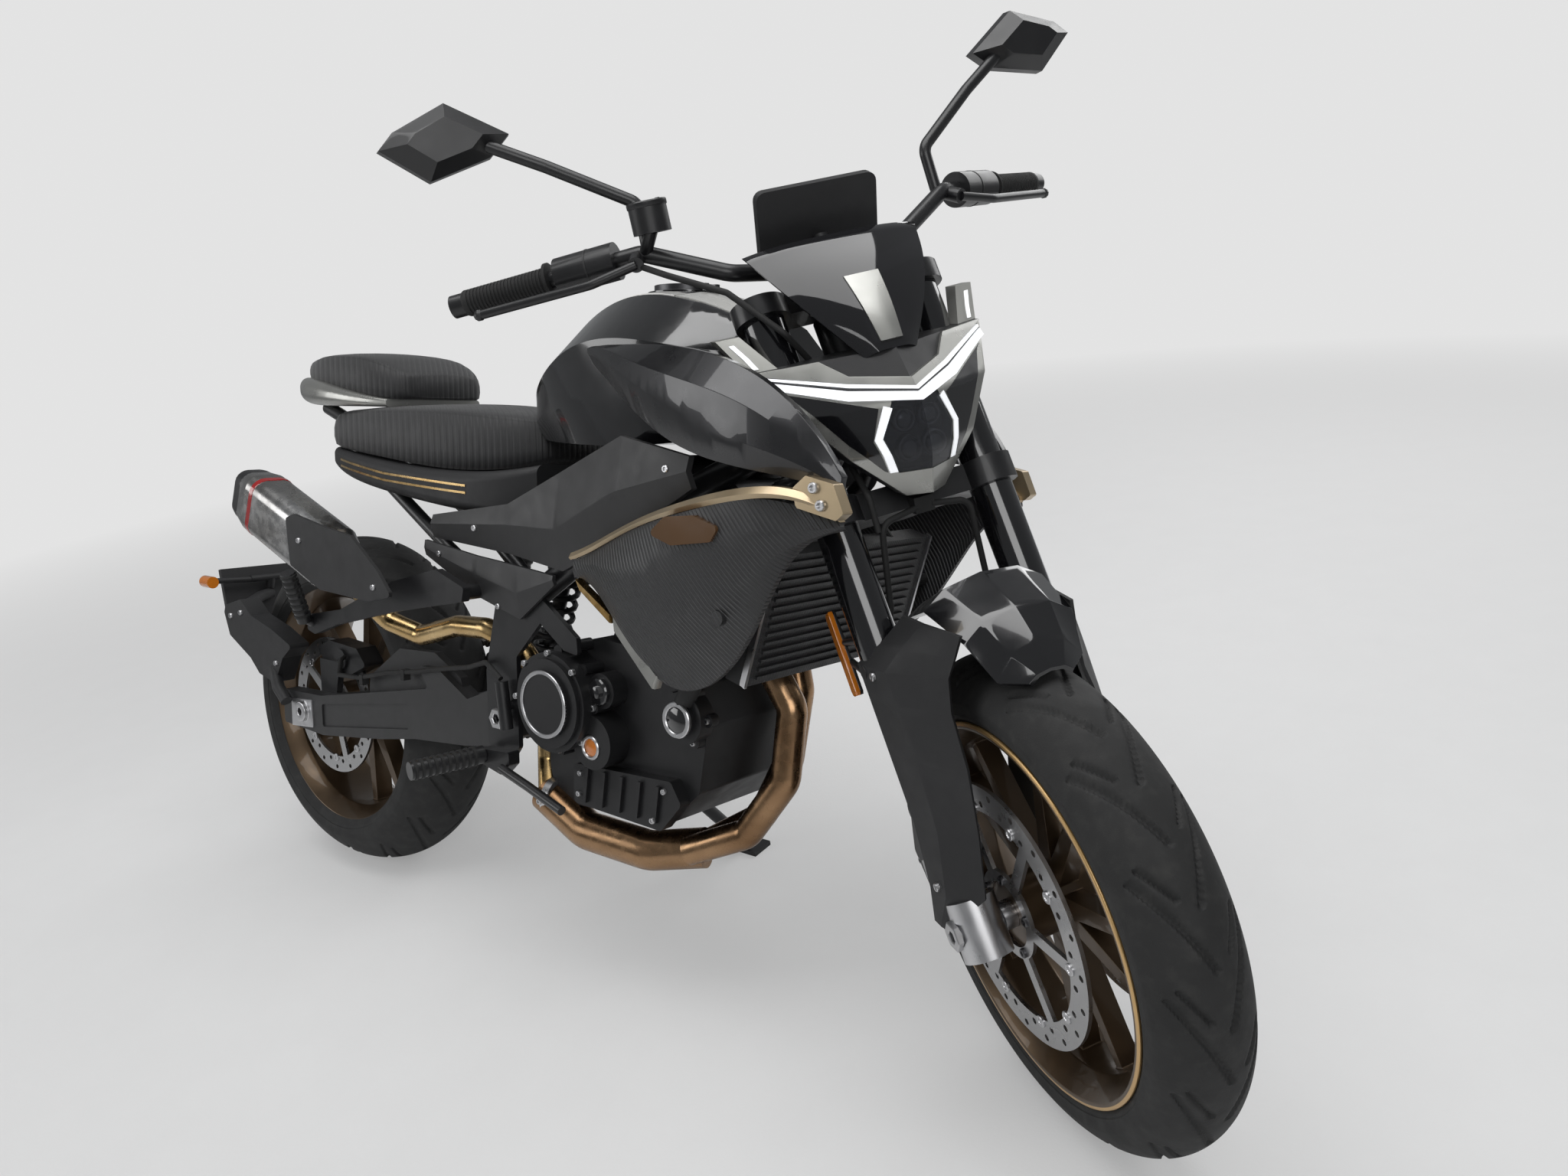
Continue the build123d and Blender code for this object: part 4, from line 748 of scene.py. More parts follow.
# Half section from the middle of the base to the middle of the top: shares of half width and of height.
# The dip near 0.87 is the sewn channel between the side and the top panel.
CUSHION_SIDE = [
    (0.45, 0.0), (0.90, 0.0), (0.972, 0.07), (1.0, 0.28), (0.996, 0.50), (0.968, 0.68), (0.925, 0.80),
    (0.900, 0.845), (0.889, 0.822), (0.875, 0.822), (0.864, 0.868), (0.81, 0.910), (0.70, 0.945),
    (0.52, 0.975), (0.30, 0.993), (0.10, 1.0),
]
END_ROUND = 26.0


def build_cushion(name, rows, crown):
    bm = bmesh.new()
    rings = []
    sampled = curve_rows(rows, 44)
    for x, half, low, high in sampled:
        reach = min(x - sampled[0][0], sampled[-1][0] - x, END_ROUND) / END_ROUND
        shrink = 0.80 + 0.20 * sqrt(1 - (1 - reach) ** 2)
        middle = (low + high) / 2
        side = [(share * half * shrink, middle + (low + up * (high - low + crown) - middle) * shrink)
                for share, up in CUSHION_SIDE]
        rings.append([(x, y, z) for y, z in side] + [(x, -y, z) for y, z in side[::-1]])
    add_loft(bm, rings)
    piece = make_piece(f"{name}_cushion", bm, "chassis", "seat_cover", replaces=[name], sharp=60)


class MOTORCYCLE_OT_seats(bpy.types.Operator):
    """Crowned seats with a sewn channel along each side"""

    bl_idname = "motorcycle.seats"
    bl_label = "Seats"

    def execute(self, context):
        crown = context.scene.motorcycle_seat.crown / MM
        build_cushion("rider_seat", RIDER_ROWS, crown * 0.6)
        build_cushion("pillion_seat", PILLION_ROWS, crown * 0.4)
        return {"FINISHED"}


# Chain

CHAIN_Y = 102.0
DRIVE_CENTRE = (680.0, 400.0)
# Radii of the pins' run round the rear and the front sprocket
PIN_RUN_REAR = 112.0
PIN_RUN_FRONT = 49.0
LINK_PITCH = 15.875
PLATE_R = 6.6
PLATE_WAIST = 4.2
# Inner and outer plates: distance of their inner face from the middle, thickness
INNER_PLATE = (3.6, 1.4)
OUTER_PLATE = (5.1, 1.4)
PIN = [(2.6, -7), (2.6, 7)]
ROLLER = [(4.6, -3.5), (5.0, -3.2), (5.0, 3.2), (4.6, 3.5)]


def chain_pins():
    """Places of the pins round both sprockets, as (x, z)."""
    drive = complex(DRIVE_CENTRE[0], DRIVE_CENTRE[1] - REAR_AXLE_Z)
    span = abs(drive)
    lean = pi / 2 - np.arcsin((PIN_RUN_REAR - PIN_RUN_FRONT) / span)
    start, end = rect(PIN_RUN_REAR, lean), span + rect(PIN_RUN_FRONT, lean)
    runs = [
        (abs(end - start), lambda share: start + (end - start) * share),
        (2 * lean * PIN_RUN_FRONT, lambda share: span + rect(PIN_RUN_FRONT, lean * (1 - 2 * share))),
        (abs(end - start), lambda share: (end + (start - end) * share).conjugate()),
        (2 * (pi - lean) * PIN_RUN_REAR, lambda share: rect(PIN_RUN_REAR, -lean - 2 * (pi - lean) * share)),
    ]
    total = sum(length for length, place in runs)
    count = 2 * round(total / LINK_PITCH / 2)
    places = []
    passed = 0.0
    for length, place in runs:
        while len(places) < count and len(places) * total / count < passed + length:
            pin = place((len(places) * total / count - passed) / length) * rect(1, phase(drive))
            places.append((pin.real, REAR_AXLE_Z + pin.imag))
        passed += length
    return places


def link_outline(pitch):
    """Waisted link plate about its middle."""
    arc = [radians(angle) for angle in range(-105, 106, 30)]
    front = [(pitch / 2 + PLATE_R * cos(angle), PLATE_R * sin(angle)) for angle in arc]
    rear = [(-x, -y) for x, y in front]
    return front + [(0, PLATE_WAIST)] + rear + [(0, -PLATE_WAIST)]


class MOTORCYCLE_OT_chain(bpy.types.Operator):
    """Drive chain of inner and outer links with rollers"""

    bl_idname = "motorcycle.chain"
    bl_label = "Chain"

    def execute(self, context):
        plates, rollers = new_meshes(2)
        pins = [Vector((x, CHAIN_Y, z)) for x, z in chain_pins()]
        for index, (pin, following) in enumerate(zip(pins, pins[1:] + pins[:1])):
            run = following - pin
            along = run.normalized()
            gap, thick = (INNER_PLATE, OUTER_PLATE)[index % 2]
            for side in (-1, 1):
                across = Vector((0, side, 0))
                matrix = Matrix((along, across.cross(along), across)).transposed().to_4x4()
                place = (pin + following) / 2 + gap * across
                add_plate(plates, link_outline(run.length), thick, Matrix.Translation(place) @ matrix)
            add_lathe(rollers, PIN, pin, LEFTWARD, 10)
            add_lathe(rollers, ROLLER, pin, LEFTWARD, 12)
        make_piece("chain_plates", plates, "chassis", "chain_steel", replaces=["chain"])
        make_piece("chain_rollers", rollers, "chassis", "chain_steel")
        return {"FINISHED"}


# Headlight

# Columns: height, half width, x of the side edge, x of the nose
LAMP_ROWS = [(775, 26, 1292, 1312), (830, 82, 1280, 1330), (890, 126, 1250, 1325), (948, 158, 1196, 1284)]
WINDOW_HEIGHTS = (806, 850, 892)
WINDOW_HALVES = (34, 46, 30)
# Lower and upper edges of the white bars, which glow with a painted reflection, on one side, as (y, z)
BAR_LOWER = [(0, 888), (72, 900), (151, 930)]
BAR_UPPER = [(0, 904), (64, 918), (149, 943)]
FRAME_SKIN = 6.0
# Upright white strips beside the window, glowing with a painted reflection: inner and outer edges on one side
STRIP_INNER = [(35.5, 808), (47.5, 850), (31.5, 884)]
STRIP_OUTER = [(43.5, 808), (55.5, 850), (39.5, 888)]
# White bar with a painted glow on each silver arm: its inner edge and its width
ARM_BAR = [(144, 952), (150, 966), (160, 984)]
ARM_BAR_WIDE = 6
# Projectors: height and radius of each pair, their distance from the middle and depth behind the front
PROJECTORS = [(866, 13.0), (832, 14.5)]
PROJECTOR_SIDE, PROJECTOR_DEPTH = 16, 22
WINDOW_GAP = 0.6
# Glossy mask beside the window: edge along the strips and bars, edge inside the silver border
MASK_INNER = [(45.5, 809), (57, 848), (45, 886), (76, 898), (138, 922)]
MASK_OUTER = [(49, 811), (82, 849), (102, 878), (113, 894), (129, 918)]


def lamp_front(y, z):
    """x of the lamp's front at a place."""
    heights = [row[0] for row in LAMP_ROWS]
    half, side, nose = (np.interp(z, heights, [row[column] for row in LAMP_ROWS]) for column in (1, 2, 3))
    return float(nose + (side - nose) * min(1.0, abs(y) / half))


def add_lamp_skin(bm, rows, outer, inner):
    """Sheet over the lamp from a grid of (y, z) points."""
    front = [[(lamp_front(y, z) + outer, y, z) for y, z in row] for row in rows]
    back = [[(lamp_front(y, z) + inner, y, z) for y, z in row] for row in rows]
    add_skin(bm, front, back)


def on_side(side, points):
    return [(side * y, z) for y, z in points]


def bar_rows(low, high, side):
    """Grid between two shares of the white bar's width, on one side."""
    edges = [(Vector(a), Vector(b)) for a, b in zip(on_side(side, BAR_LOWER), on_side(side, BAR_UPPER))]
    return band_rows([a.lerp(b, low) for a, b in edges], [a.lerp(b, high) for a, b in edges], steps=10)


class MOTORCYCLE_OT_headlight(bpy.types.Operator):
    """Dark window over four projectors, with double light bars and upright strips that glow with a painted
    reflection, and a glossy mask
    """

    bl_idname = "motorcycle.headlight"
    bl_label = "Headlight"

    def execute(self, context):
        bars, bed, mask, window, bezels, domes = new_meshes(6)
        shell = node_tree("headlight")
        for side in (-1, 1):
            add_lamp_skin(bars, bar_rows(0.0, 0.60, side), FRAME_SKIN + 3.0, 1.0)
            add_lamp_skin(bars, bar_rows(0.78, 1.0, side), FRAME_SKIN + 3.0, 1.0)
            add_lamp_skin(bed, bar_rows(0.60, 0.78, side), FRAME_SKIN - 1.0, 1.0)
            strip = band_rows(on_side(side, STRIP_INNER), on_side(side, STRIP_OUTER))
            add_lamp_skin(bars, strip, FRAME_SKIN + 2.0, FRAME_SKIN - 1.0)
            arm = [(1400, y, z) for y, z in on_side(side, ARM_BAR)]
            arm_edge = [(x, y + side * ARM_BAR_WIDE, z) for x, y, z in arm]
            add_draped(bars, shell, "steering", band_rows(arm, arm_edge, 4), (-1, 0, 0), 2.0)
            edges = band_rows(on_side(side, MASK_INNER), on_side(side, MASK_OUTER), steps=6, across=5)
            add_lamp_skin(mask, edges, FRAME_SKIN + 1.2, FRAME_SKIN - 2.0)
        rows = []
        for z in spread(WINDOW_HEIGHTS[0] + WINDOW_GAP, WINDOW_HEIGHTS[-1] - WINDOW_GAP, 13):
            half = float(np.interp(z, WINDOW_HEIGHTS, WINDOW_HALVES)) - WINDOW_GAP
            rows.append([(y, z) for y in spread(-half, half, 13)])
        add_lamp_skin(window, rows, FRAME_SKIN - 1.0, FRAME_SKIN - 4.0)
        for y in (-PROJECTOR_SIDE, PROJECTOR_SIDE):
            for z, size in PROJECTORS:
                place = (lamp_front(y, z) - PROJECTOR_DEPTH, y, z)
                add_ring(bezels, place, (1, 0, 0), size - 2.5, size + 1.2, 13)
                dome = [(size - 2.6, 0), (size - 2.6, 7), (size * 0.62, 12), (size * 0.25, 14)]
                add_lathe(domes, dome, place, (1, 0, 0), 28)
        make_piece("headlight_mask", mask, "steering", "gloss_black")
        make_piece("headlight_bars", bars, "steering", "bar_painted_glow", "lens", ["headlight_lens"])
        make_pieces("steering", ("headlight_bar_bed", bed, "gloss_black"),
                    ("headlight_window", window, "clear_lens", "lens"),
                    ("projector_rings", bezels, "dark_metal", "gunmetal"),
                    ("projector_lenses", domes, "screen_glass", "gloss_black"))
        return {"FINISHED"}


# Flyscreen and display

SCREEN_ROWS = [(1272, 34, 948), (1240, 70, 1000), (1200, 98, 1046), (1150, 118, 1088)]
# The flyscreen's middle stands ahead of its rows, its sides sweep back and its corners drop
SCREEN_AHEAD, SCREEN_SWEEP, SCREEN_DROP = 12, 15, 7
SCREEN_THICK = 4.5
# Metal strip: half width at the screen's foot, growth per mm of height
STRIP_FOOT, STRIP_GROWTH = 13, 0.11
DISPLAY_CENTRE = (1106, 0, 1112)
DISPLAY_UP = (34, 0, 92)


def screen_face(row, share):
    """Front face of the flyscreen at a share of its half width."""
    x, half, z = row
    return (x + SCREEN_AHEAD - SCREEN_SWEEP * share * share, share * half, z - SCREEN_DROP * abs(share) ** 3)


def moved_rows(rows, ahead):
    return [[(x + ahead, y, z) for x, y, z in row] for row in rows]


class MOTORCYCLE_OT_screen(bpy.types.Operator):
    """Curved smoked flyscreen with its metal strip"""

    bl_idname = "motorcycle.screen"
    bl_label = "Flyscreen"

    def execute(self, context):
        rows = curve_rows(SCREEN_ROWS, 16)
        sheet, strip = new_meshes(2)
        face = [[screen_face(row, share) for share in spread(-1, 1, 21)] for row in rows]
        add_skin(sheet, face, moved_rows(face, -SCREEN_THICK))
        face = []
        for row in rows[1:10]:
            wide = STRIP_FOOT + STRIP_GROWTH * (row[2] - SCREEN_ROWS[0][2])
            face.append([screen_face(row, share * wide / row[1]) for share in spread(-1, 1, 5)])
        add_skin(strip, moved_rows(face, 2.6), moved_rows(face, -0.5))
        make_piece("flyscreen_sheet", sheet, "steering", "smoked", replaces=["flyscreen"], sharp=50)
        make_piece("flyscreen_strip", strip, "steering", "silver")
        return {"FINISHED"}


class MOTORCYCLE_OT_display(bpy.types.Operator):
    """Blank display that faces the rider"""

    bl_idname = "motorcycle.display"
    bl_label = "Display"

    def execute(self, context):
        up = Vector(DISPLAY_UP).normalized()
        side = Vector(RIGHTWARD)
        facing = side.cross(up)
        turn = Matrix((side, up, facing)).transposed().to_4x4()
        case, glass = new_meshes(2)
        for bm, outline, thick, back in ((case, rounded_outline(164, 96, 12), 16, 16),
                                         (glass, rounded_outline(152, 84, 8), 1.6, 0.6)):
            add_plate(bm, outline, thick, Matrix.Translation(Vector(DISPLAY_CENTRE) - back * facing) @ turn)
        add_tube(case, [(1116, 0, 1090), (1122, 0, 1060), (1128, 0, 1008)], 10)
        make_piece("display_case", case, "steering", "black_plastic", replaces=["display"])
        make_piece("display_glass", glass, "steering", "screen_glass", "gloss_black")
        return {"FINISHED"}


# Handlebar parts

GRIP_START = Vector((984, -325, 1104.7))
GRIP_END = Vector((921, -431, 1097.6))
BOX_START = Vector((1032, -245, 1110))
BOX_END = Vector((990, -315, 1105.4))
RESERVOIR = (1085, -205, 1150)

# Switch: share of its box's length, tilt, radius
SWITCHES = [(0.25, 0.2, 8), (0.55, 0.6, 6), (0.62, -0.1, 7), (0.85, 0.25, 5)]
LEVER_TIP = (968, -424, 1080)


class MOTORCYCLE_OT_handlebar(bpy.types.Operator):
    """Ribbed grips, switches, lever ends, reservoir cap and its window"""

    bl_idname = "motorcycle.handlebar"
    bl_label = "Handlebar parts"

    def execute(self, context):
        grips, switches, glass, metal = new_meshes(4)
        length = (GRIP_END - GRIP_START).length
        profile = [(22, 0), (22, 4), (17.4, 6)]
        for place in spread(8, length - 10, 22):
            profile += [(16.0, place), (16.0, place + 1.6), (17.2, place + 2.0), (17.2, place + 4.0)]
        profile += [(17.4, length - 2), (16.4, length)]
        tree = node_tree("hand_controls")
        for turn in (Vector, flipped):
            start, end, box_start, box_end, tip = (
                turn(point) for point in (GRIP_START, GRIP_END, BOX_START, BOX_END, LEVER_TIP))
            add_lathe(grips, profile, start, end - start, 28)
            along = (box_end - box_start).normalized()
            rearward = along.cross(Vector(UP)).normalized()
            rearward = rearward if rearward.x < 0 else -rearward
            for share, tilt, size in SWITCHES:
                heading = (rearward + Vector((0, 0, tilt))).normalized()
                centre = box_start.lerp(box_end, share)
                hit = touch(tree, "steering", centre + heading * 60, -heading)
                add_lathe(switches, [(size, -1), (size, 2.5), (size - 1.2, 3.6)], hit, heading, 16)
            add_lathe(switches, [(24.6, -1.2), (24.6, 1.2)], box_start.lerp(box_end, 0.45), along, 32)
            add_lathe(metal, [(3, -7), (6.5, -4), (7.8, 0), (6.5, 4), (3, 7)], tip, UP, 16)
        x, y, z = RESERVOIR
        add_lathe(metal, [(24.5, 0), (25.2, 1), (25.2, 6), (24, 7.5)], (x, y, z + 14), UP, 40)
        for offset in (-15, 15):
            add_bolt(metal, (x, y + offset, z + 21.5), UP, 3.2, 1.8)
        add_lathe(glass, [(9, -1), (9, 1.6), (6, 2.8)], (x - 23.6, y, z - 1), (-1, 0, 0), 24)
        make_piece("ribbed_grips", grips, "steering", "rubber", replaces=["grips"])
        make_pieces("steering", ("bar_switches", switches, "panel_grey", "black_plastic"),
                    ("reservoir_cap", metal, "satin_black"), ("reservoir_window", glass, "amber"))
        return {"FINISHED"}


MIRROR_OUTLINE = [(-82, -4), (-12, 44), (58, 20), (80, 2), (28, -44), (-52, -28)]
MIRROR_MIDDLE = (412.0, 1290.0)
# Glass from the housing outward: x, share of the outline
MIRROR_FACE = [(967.0, 0.92), (965.0, 0.92), (964.2, 0.90)]


class MOTORCYCLE_OT_mirrors(bpy.types.Operator):
    """Mirror glass in both housings"""

    bl_idname = "motorcycle.mirror_glass"
    bl_label = "Mirror glass"

    def execute(self, context):
        bm = bmesh.new()
        middle_y, middle_z = MIRROR_MIDDLE
        for side in (-1, 1):
            add_loft(bm, [[(x, side * (middle_y + size * y), middle_z + size * z) for y, z in MIRROR_OUTLINE]
                          for x, size in MIRROR_FACE])
        make_piece("mirror_glass", bm, "steering", "mirror")
        return {"FINISHED"}


# Fork, wheels and discs

FORK_SPREAD = 107.0
FORK_TOP = 1014.5
# Turned parts of a fork cap: profile, sides
FORK_CAP = [([(25, -2), (25, 3), (23, 5), (15, 5)], 36), ([(14, 4), (14, 11), (12.5, 12)], 6),
            ([(6, 11), (6, 15), (5, 16)], 16)]
LEG_LEAN = Vector((-sin(RAKE), 0, cos(RAKE)))


def leg_place(z, side):
    """Point on a fork leg's axis at a height."""
    return Vector((WHEELBASE - (z - FRONT_AXLE_Z) * sin(RAKE) / cos(RAKE), side * FORK_SPREAD, z))


# Reflector outline about its middle, along and across the fork leg
REFLECTOR = [(-54, -6), (-48, -8), (50, -8), (54, -5), (54, 6), (50, 8), (-50, 8), (-54, 5)]
REFLECTOR_MIDDLE = (1277, 600)


class MOTORCYCLE_OT_fork(bpy.types.Operator):
    """Fork caps, seals, side reflectors and axle nuts"""

    bl_idname = "motorcycle.fork"
    bl_label = "Fork parts"

    def execute(self, context):
        caps, seals, amber, brackets = new_meshes(4)
        middle_x, middle_z = REFLECTOR_MIDDLE
        outline = [(middle_x + along * LEG_LEAN.x + across * LEG_LEAN.z,
                    middle_z + along * LEG_LEAN.z - across * LEG_LEAN.x) for along, across in REFLECTOR]
        for side in (-1, 1):
            for profile, sides in FORK_CAP:
                add_lathe(caps, profile, leg_place(FORK_TOP, side), LEG_LEAN, sides)
            add_ring(seals, leg_place(560, side) - LEG_LEAN * 7, LEG_LEAN, 21.6, 27.4, 8)
            add_ring(caps, (WHEELBASE, side * 136.5, FRONT_AXLE_Z), (0, side, 0), 8, 18, 7, 6)
            add_slab(amber, outline, side * 136, side * 142)
            add_slab(brackets, outline, side * 132, side * 136)
            for z in (622, 578):
                leg = leg_place(z, side) + Vector((-10, side * 18, 0))
                add_tube(brackets, [leg, (1280, side * 134, 604 + (z - 600) * 0.5)], 4.5)
        make_pieces("steering", ("fork_caps", caps, "aluminium"), ("fork_seals", seals, "rubber"),
                    ("fork_reflectors", amber, "amber"), ("reflector_brackets", brackets, "satin_black"))
        return {"FINISHED"}


# Discs of a wheel: body, axle x, axle z, distance of the outer face, sides, rivet circle, rivets
DISCS = [
    ("front_wheel", WHEELBASE, FRONT_AXLE_Z, 68.5, (-1, 1), 130, 10),
    ("rear_wheel", 0.0, REAR_AXLE_Z, 83.5, (-1,), 103, 8),
]
RIVET = [(7.5, -1), (7.5, 1.6), (6.5, 2.4), (4, 2.4), (3.6, 1.2)]
CARRIER_CIRCLE = 46
VALVE = [(4.2, -4), (4.0, 12), (3.0, 13), (3.0, 24), (4.4, 25), (4.4, 33), (3.6, 34)]
VALVE_SEAT = 208
VALVE_ANGLE = radians(200)


class MOTORCYCLE_OT_wheels(bpy.types.Operator):
    """Disc rivets, carrier bolts and valve stems"""

    bl_idname = "motorcycle.wheels"
    bl_label = "Wheel parts"

    def execute(self, context):
        outward = Vector((cos(VALVE_ANGLE), 0, sin(VALVE_ANGLE)))
        for body, x, z, face, sides, circle, count in DISCS:
            rivets, bolts, valve = new_meshes(3)
            for side in sides:
                for place in circle_places(x, z, circle, count, side * face):
                    add_lathe(rivets, RIVET, place, (0, side, 0), 18)
                for place in circle_places(x, z, CARRIER_CIRCLE, 5, side * face, 0.3):
                    add_bolt(bolts, place, (0, side, 0), 6.0, 4.0)
            add_lathe(valve, VALVE, Vector((x, 8, z)) + VALVE_SEAT * outward, -outward, 14)
            make_pieces(body, (f"{body}_rivets", rivets, "aluminium", "steel"),
                        (f"{body}_disc_bolts", bolts, "dark_metal", "gunmetal"),
                        (f"{body}_valve", valve, "rubber"))
        return {"FINISHED"}


# Engine, radiator, exhaust, shock absorber and pegs

# Ring on the engine: place, inner radius, outer radius, height, sides
ENGINE_RINGS = [((968, -145, 455), 18, 25, 5, 40), ((728, -175, 445), 44, 50, 3, 56),
                ((830, 175, 430), 38, 44, 3, 56), ((800, -149, 388), 13, 18, 4, 32)]
# Turned cap on the engine: profile, place, sides
ENGINE_CAPS = [([(18, -2), (18, 4), (15, 6)], (968, -144, 455), 36),
               ([(20, -2), (20, 6), (18, 8), (9, 8), (9, 12), (7, 13)], (812, -140, 470), 10)]
RADIATOR_STRIP = [(1104, 527), (1112, 523), (1163, 690), (1155, 694)]


class MOTORCYCLE_OT_engine(bpy.types.Operator):
    """Cover rings, filler cap, sight glass and the radiator's side strips"""

    bl_idname = "motorcycle.engine"
    bl_label = "Engine parts"

    def execute(self, context):
        rings, caps, glass, strips = new_meshes(4)
        for place, inner, outer, height, sides in ENGINE_RINGS:
            add_ring(rings, place, RIGHTWARD if place[1] < 0 else LEFTWARD, inner, outer, height, sides)
        for profile, place, sides in ENGINE_CAPS:
            add_lathe(caps, profile, place, RIGHTWARD, sides)
        add_lathe(glass, [(13, -1), (13, 1), (9, 2)], (800, -149, 388), RIGHTWARD, 28)
        for side in (-1, 1):
            add_slab(strips, RADIATOR_STRIP, side * 171, side * 176)
        make_pieces("chassis", ("engine_rings", rings, "aluminium"), ("engine_caps", caps, "gloss_black"),
                    ("sight_glass", glass, "amber"), ("radiator_strips", strips, "aluminium"))
        return {"FINISHED"}


SILENCER_ORIGIN = Vector((-40, -198, 722))
SILENCER_ACROSS = Vector((124, 0, 310)).normalized()
SILENCER_ALONG = Vector((310, 8, -124)).normalized()
# Rows of (share of the silencer's section, distance along it)
SILENCER_CAP = [(0.90, 26), (0.86, 8), (0.80, -4), (0.66, -4), (0.62, 2)]
SILENCER_BAND = [(1.0, 58), (1.018, 59), (1.018, 68), (1.0, 69)]
# Pipe clamp: profile, place, direction, sides, place of its bolt
CLAMPS = [
    ([(17.2, -2), (22, -1), (22, 15), (17.2, 16)], (243, -188.3, 609), SILENCER_ALONG, 30, (252, -212, 606)),
    ([(29, -7), (31.5, -6), (31.5, 6), (29, 7)], (668, -106.5, 278), (290, 46, -34), 36, (668, -138, 278)),
]


def add_silencer_rings(bm, rows):
    """Loft along the silencer from rows of its section's share and the distance."""
    side = SILENCER_ALONG.cross(SILENCER_ACROSS)
    section = [x * SILENCER_ACROSS + y * side for x, y in rounded_outline(108, 78, 26)]
    add_loft(bm, [[SILENCER_ORIGIN + SILENCER_ALONG * distance + share * point for point in section]
                  for share, distance in rows])


class MOTORCYCLE_OT_exhaust(bpy.types.Operator):
    """Silencer end cap with its outlet, red band and pipe clamps"""

    bl_idname = "motorcycle.exhaust"
    bl_label = "Exhaust parts"

    def execute(self, context):
        cap, outlet, band, clamps = new_meshes(4)
        add_silencer_rings(cap, SILENCER_CAP)
        add_lathe(outlet, [(21, 2), (21, -9), (17.5, -9), (17, 0)], SILENCER_ORIGIN, SILENCER_ALONG, 28)
        add_silencer_rings(band, SILENCER_BAND)
        for profile, place, direction, sides, bolt in CLAMPS:
            add_lathe(clamps, profile, place, direction, sides)
            add_bolt(clamps, bolt, RIGHTWARD, 5, 4)
        make_pieces("chassis", ("silencer_cap", cap, "satin_black"),
                    ("silencer_outlet", outlet, "dark_metal", "gunmetal"),
                    ("silencer_band", band, "red_lens"),
                    ("pipe_clamps", clamps, "aluminium", "steel"))
        return {"FINISHED"}


SHOCK_LOW = Vector((478, 30, 404))
SHOCK_HIGH = Vector((562, 30, 655))
EYE = [(15, -13), (16, -11), (16, 11), (15, 13)]
SPRING_TURNS = 6.5
TURN_STEPS = 14


class MOTORCYCLE_OT_shock(bpy.types.Operator):
    """Shock absorber with its coil spring"""

    bl_idname = "motorcycle.shock"
    bl_label = "Shock absorber"

    def execute(self, context):
        body, coil = new_meshes(2)
        axis = SHOCK_HIGH - SHOCK_LOW
        length = axis.length
        axis.normalize()
        side = Vector(LEFTWARD)
        other = axis.cross(side)
        profile = [(12, 6), (20, 18), (20, 50), (33, 52), (33, 58), (12, 60), (12, length * 0.72),
                   (20, length * 0.74), (20, length - 46), (33, length - 44), (33, length - 38),
                   (20, length - 36), (18, length - 8)]
        add_lathe(body, profile, SHOCK_LOW, axis, 32)
        for place in (SHOCK_LOW, SHOCK_HIGH):
            add_lathe(body, EYE, place, LEFTWARD, 28)
        points = []
        last = int(SPRING_TURNS * TURN_STEPS)
        for index in range(last + 1):
            angle = 2 * pi * index / TURN_STEPS
            up = 62 + (length - 112) * index / last
            points.append(SHOCK_LOW + axis * up + 27 * (cos(angle) * side + sin(angle) * other))
        add_tube(coil, points, 5.0, sides=8, steps=1)
        make_piece("shock_body", body, "chassis", "dark_metal", "gunmetal", ["shock"])
        make_piece("shock_spring", coil, "chassis", "satin_black")
        return {"FINISHED"}


# Peg: start, end, radius, ribs
PEGS = [((575, -170, 342), (548, -282, 336), 14.0, 10), ((160, -220, 512), (178, -256, 600), 12.0, 8)]
# Rib: rise over the peg's radius, distance along the peg
RIB = [(-0.5, -3), (1.4, -2.2), (1.4, 2.2), (-0.5, 3)]


class MOTORCYCLE_OT_pegs(bpy.types.Operator):
    """Rubber ribs on the pegs"""

    bl_idname = "motorcycle.pegs"
    bl_label = "Peg ribs"

    def execute(self, context):
        bm = bmesh.new()
        for start, end, radius, ribs in PEGS:
            profile = [(radius + rise, along) for rise, along in RIB]
            for turn in (Vector, flipped):
                low, high = turn(start), turn(end)
                for share in spread(0.14, 0.94, ribs):
                    add_lathe(bm, profile, low.lerp(high, share), high - low, 20)
        make_piece("peg_ribs", bm, "chassis", "rubber")
        return {"FINISHED"}


# Fasteners

# Group: built parts, body, starts, radius, height, whether the other side has them too
BOLTS = [
    (["engine_covers"], "chassis", circle_places(728, 445, 74, 8, -260), 5.2, 4.5, False),
    (["engine_covers"], "chassis", circle_places(968, 455, 36, 5, -260), 4.6, 4.0, False),
    (["engine_covers"], "chassis", [(752, -260, 306), (756, -260, 338), (928, -260, 344), (910, -260, 300)],
     4.6, 4.0, False),
    (["engine_covers"], "chassis", circle_places(830, 430, 76, 8, 260), 5.2, 4.5, False),
    (["engine_covers"], "chassis", [(664, 260, 352), (664, 260, 446), (698, 260, 458), (752, 260, 340)],
     4.6, 4.0, False),
    (["shroud_trims"], "chassis", [(1258, -300, 779), (1268, -300, 760)], 6.5, 4.5, True),
    (["heat_shield"], "chassis", [(205, -300, 655), (418, -300, 596)], 5.0, 3.5, False),
    (["plate_holder"], "chassis", [(-246, -260, 470), (-206, -260, 480), (-80, -260, 396)], 5.5, 4.0, False),
    (["frame", "side_panels"], "chassis", [(1000, -300, 792), (560, -300, 690)], 5.0, 3.0, True),
    (["frame_covers"], "chassis", [(470, -300, 645), (610, -300, 575)], 4.6, 3.0, True),
    (["fork_guards"], "steering", [(1440, -260, 352), (1352, -260, 590)], 5.5, 3.5, True),
    (["front_calipers"], "steering", [(1285, -260, 296), (1338, -260, 392), (1340, -260, 276)],
     5.5, 5.0, True),
]


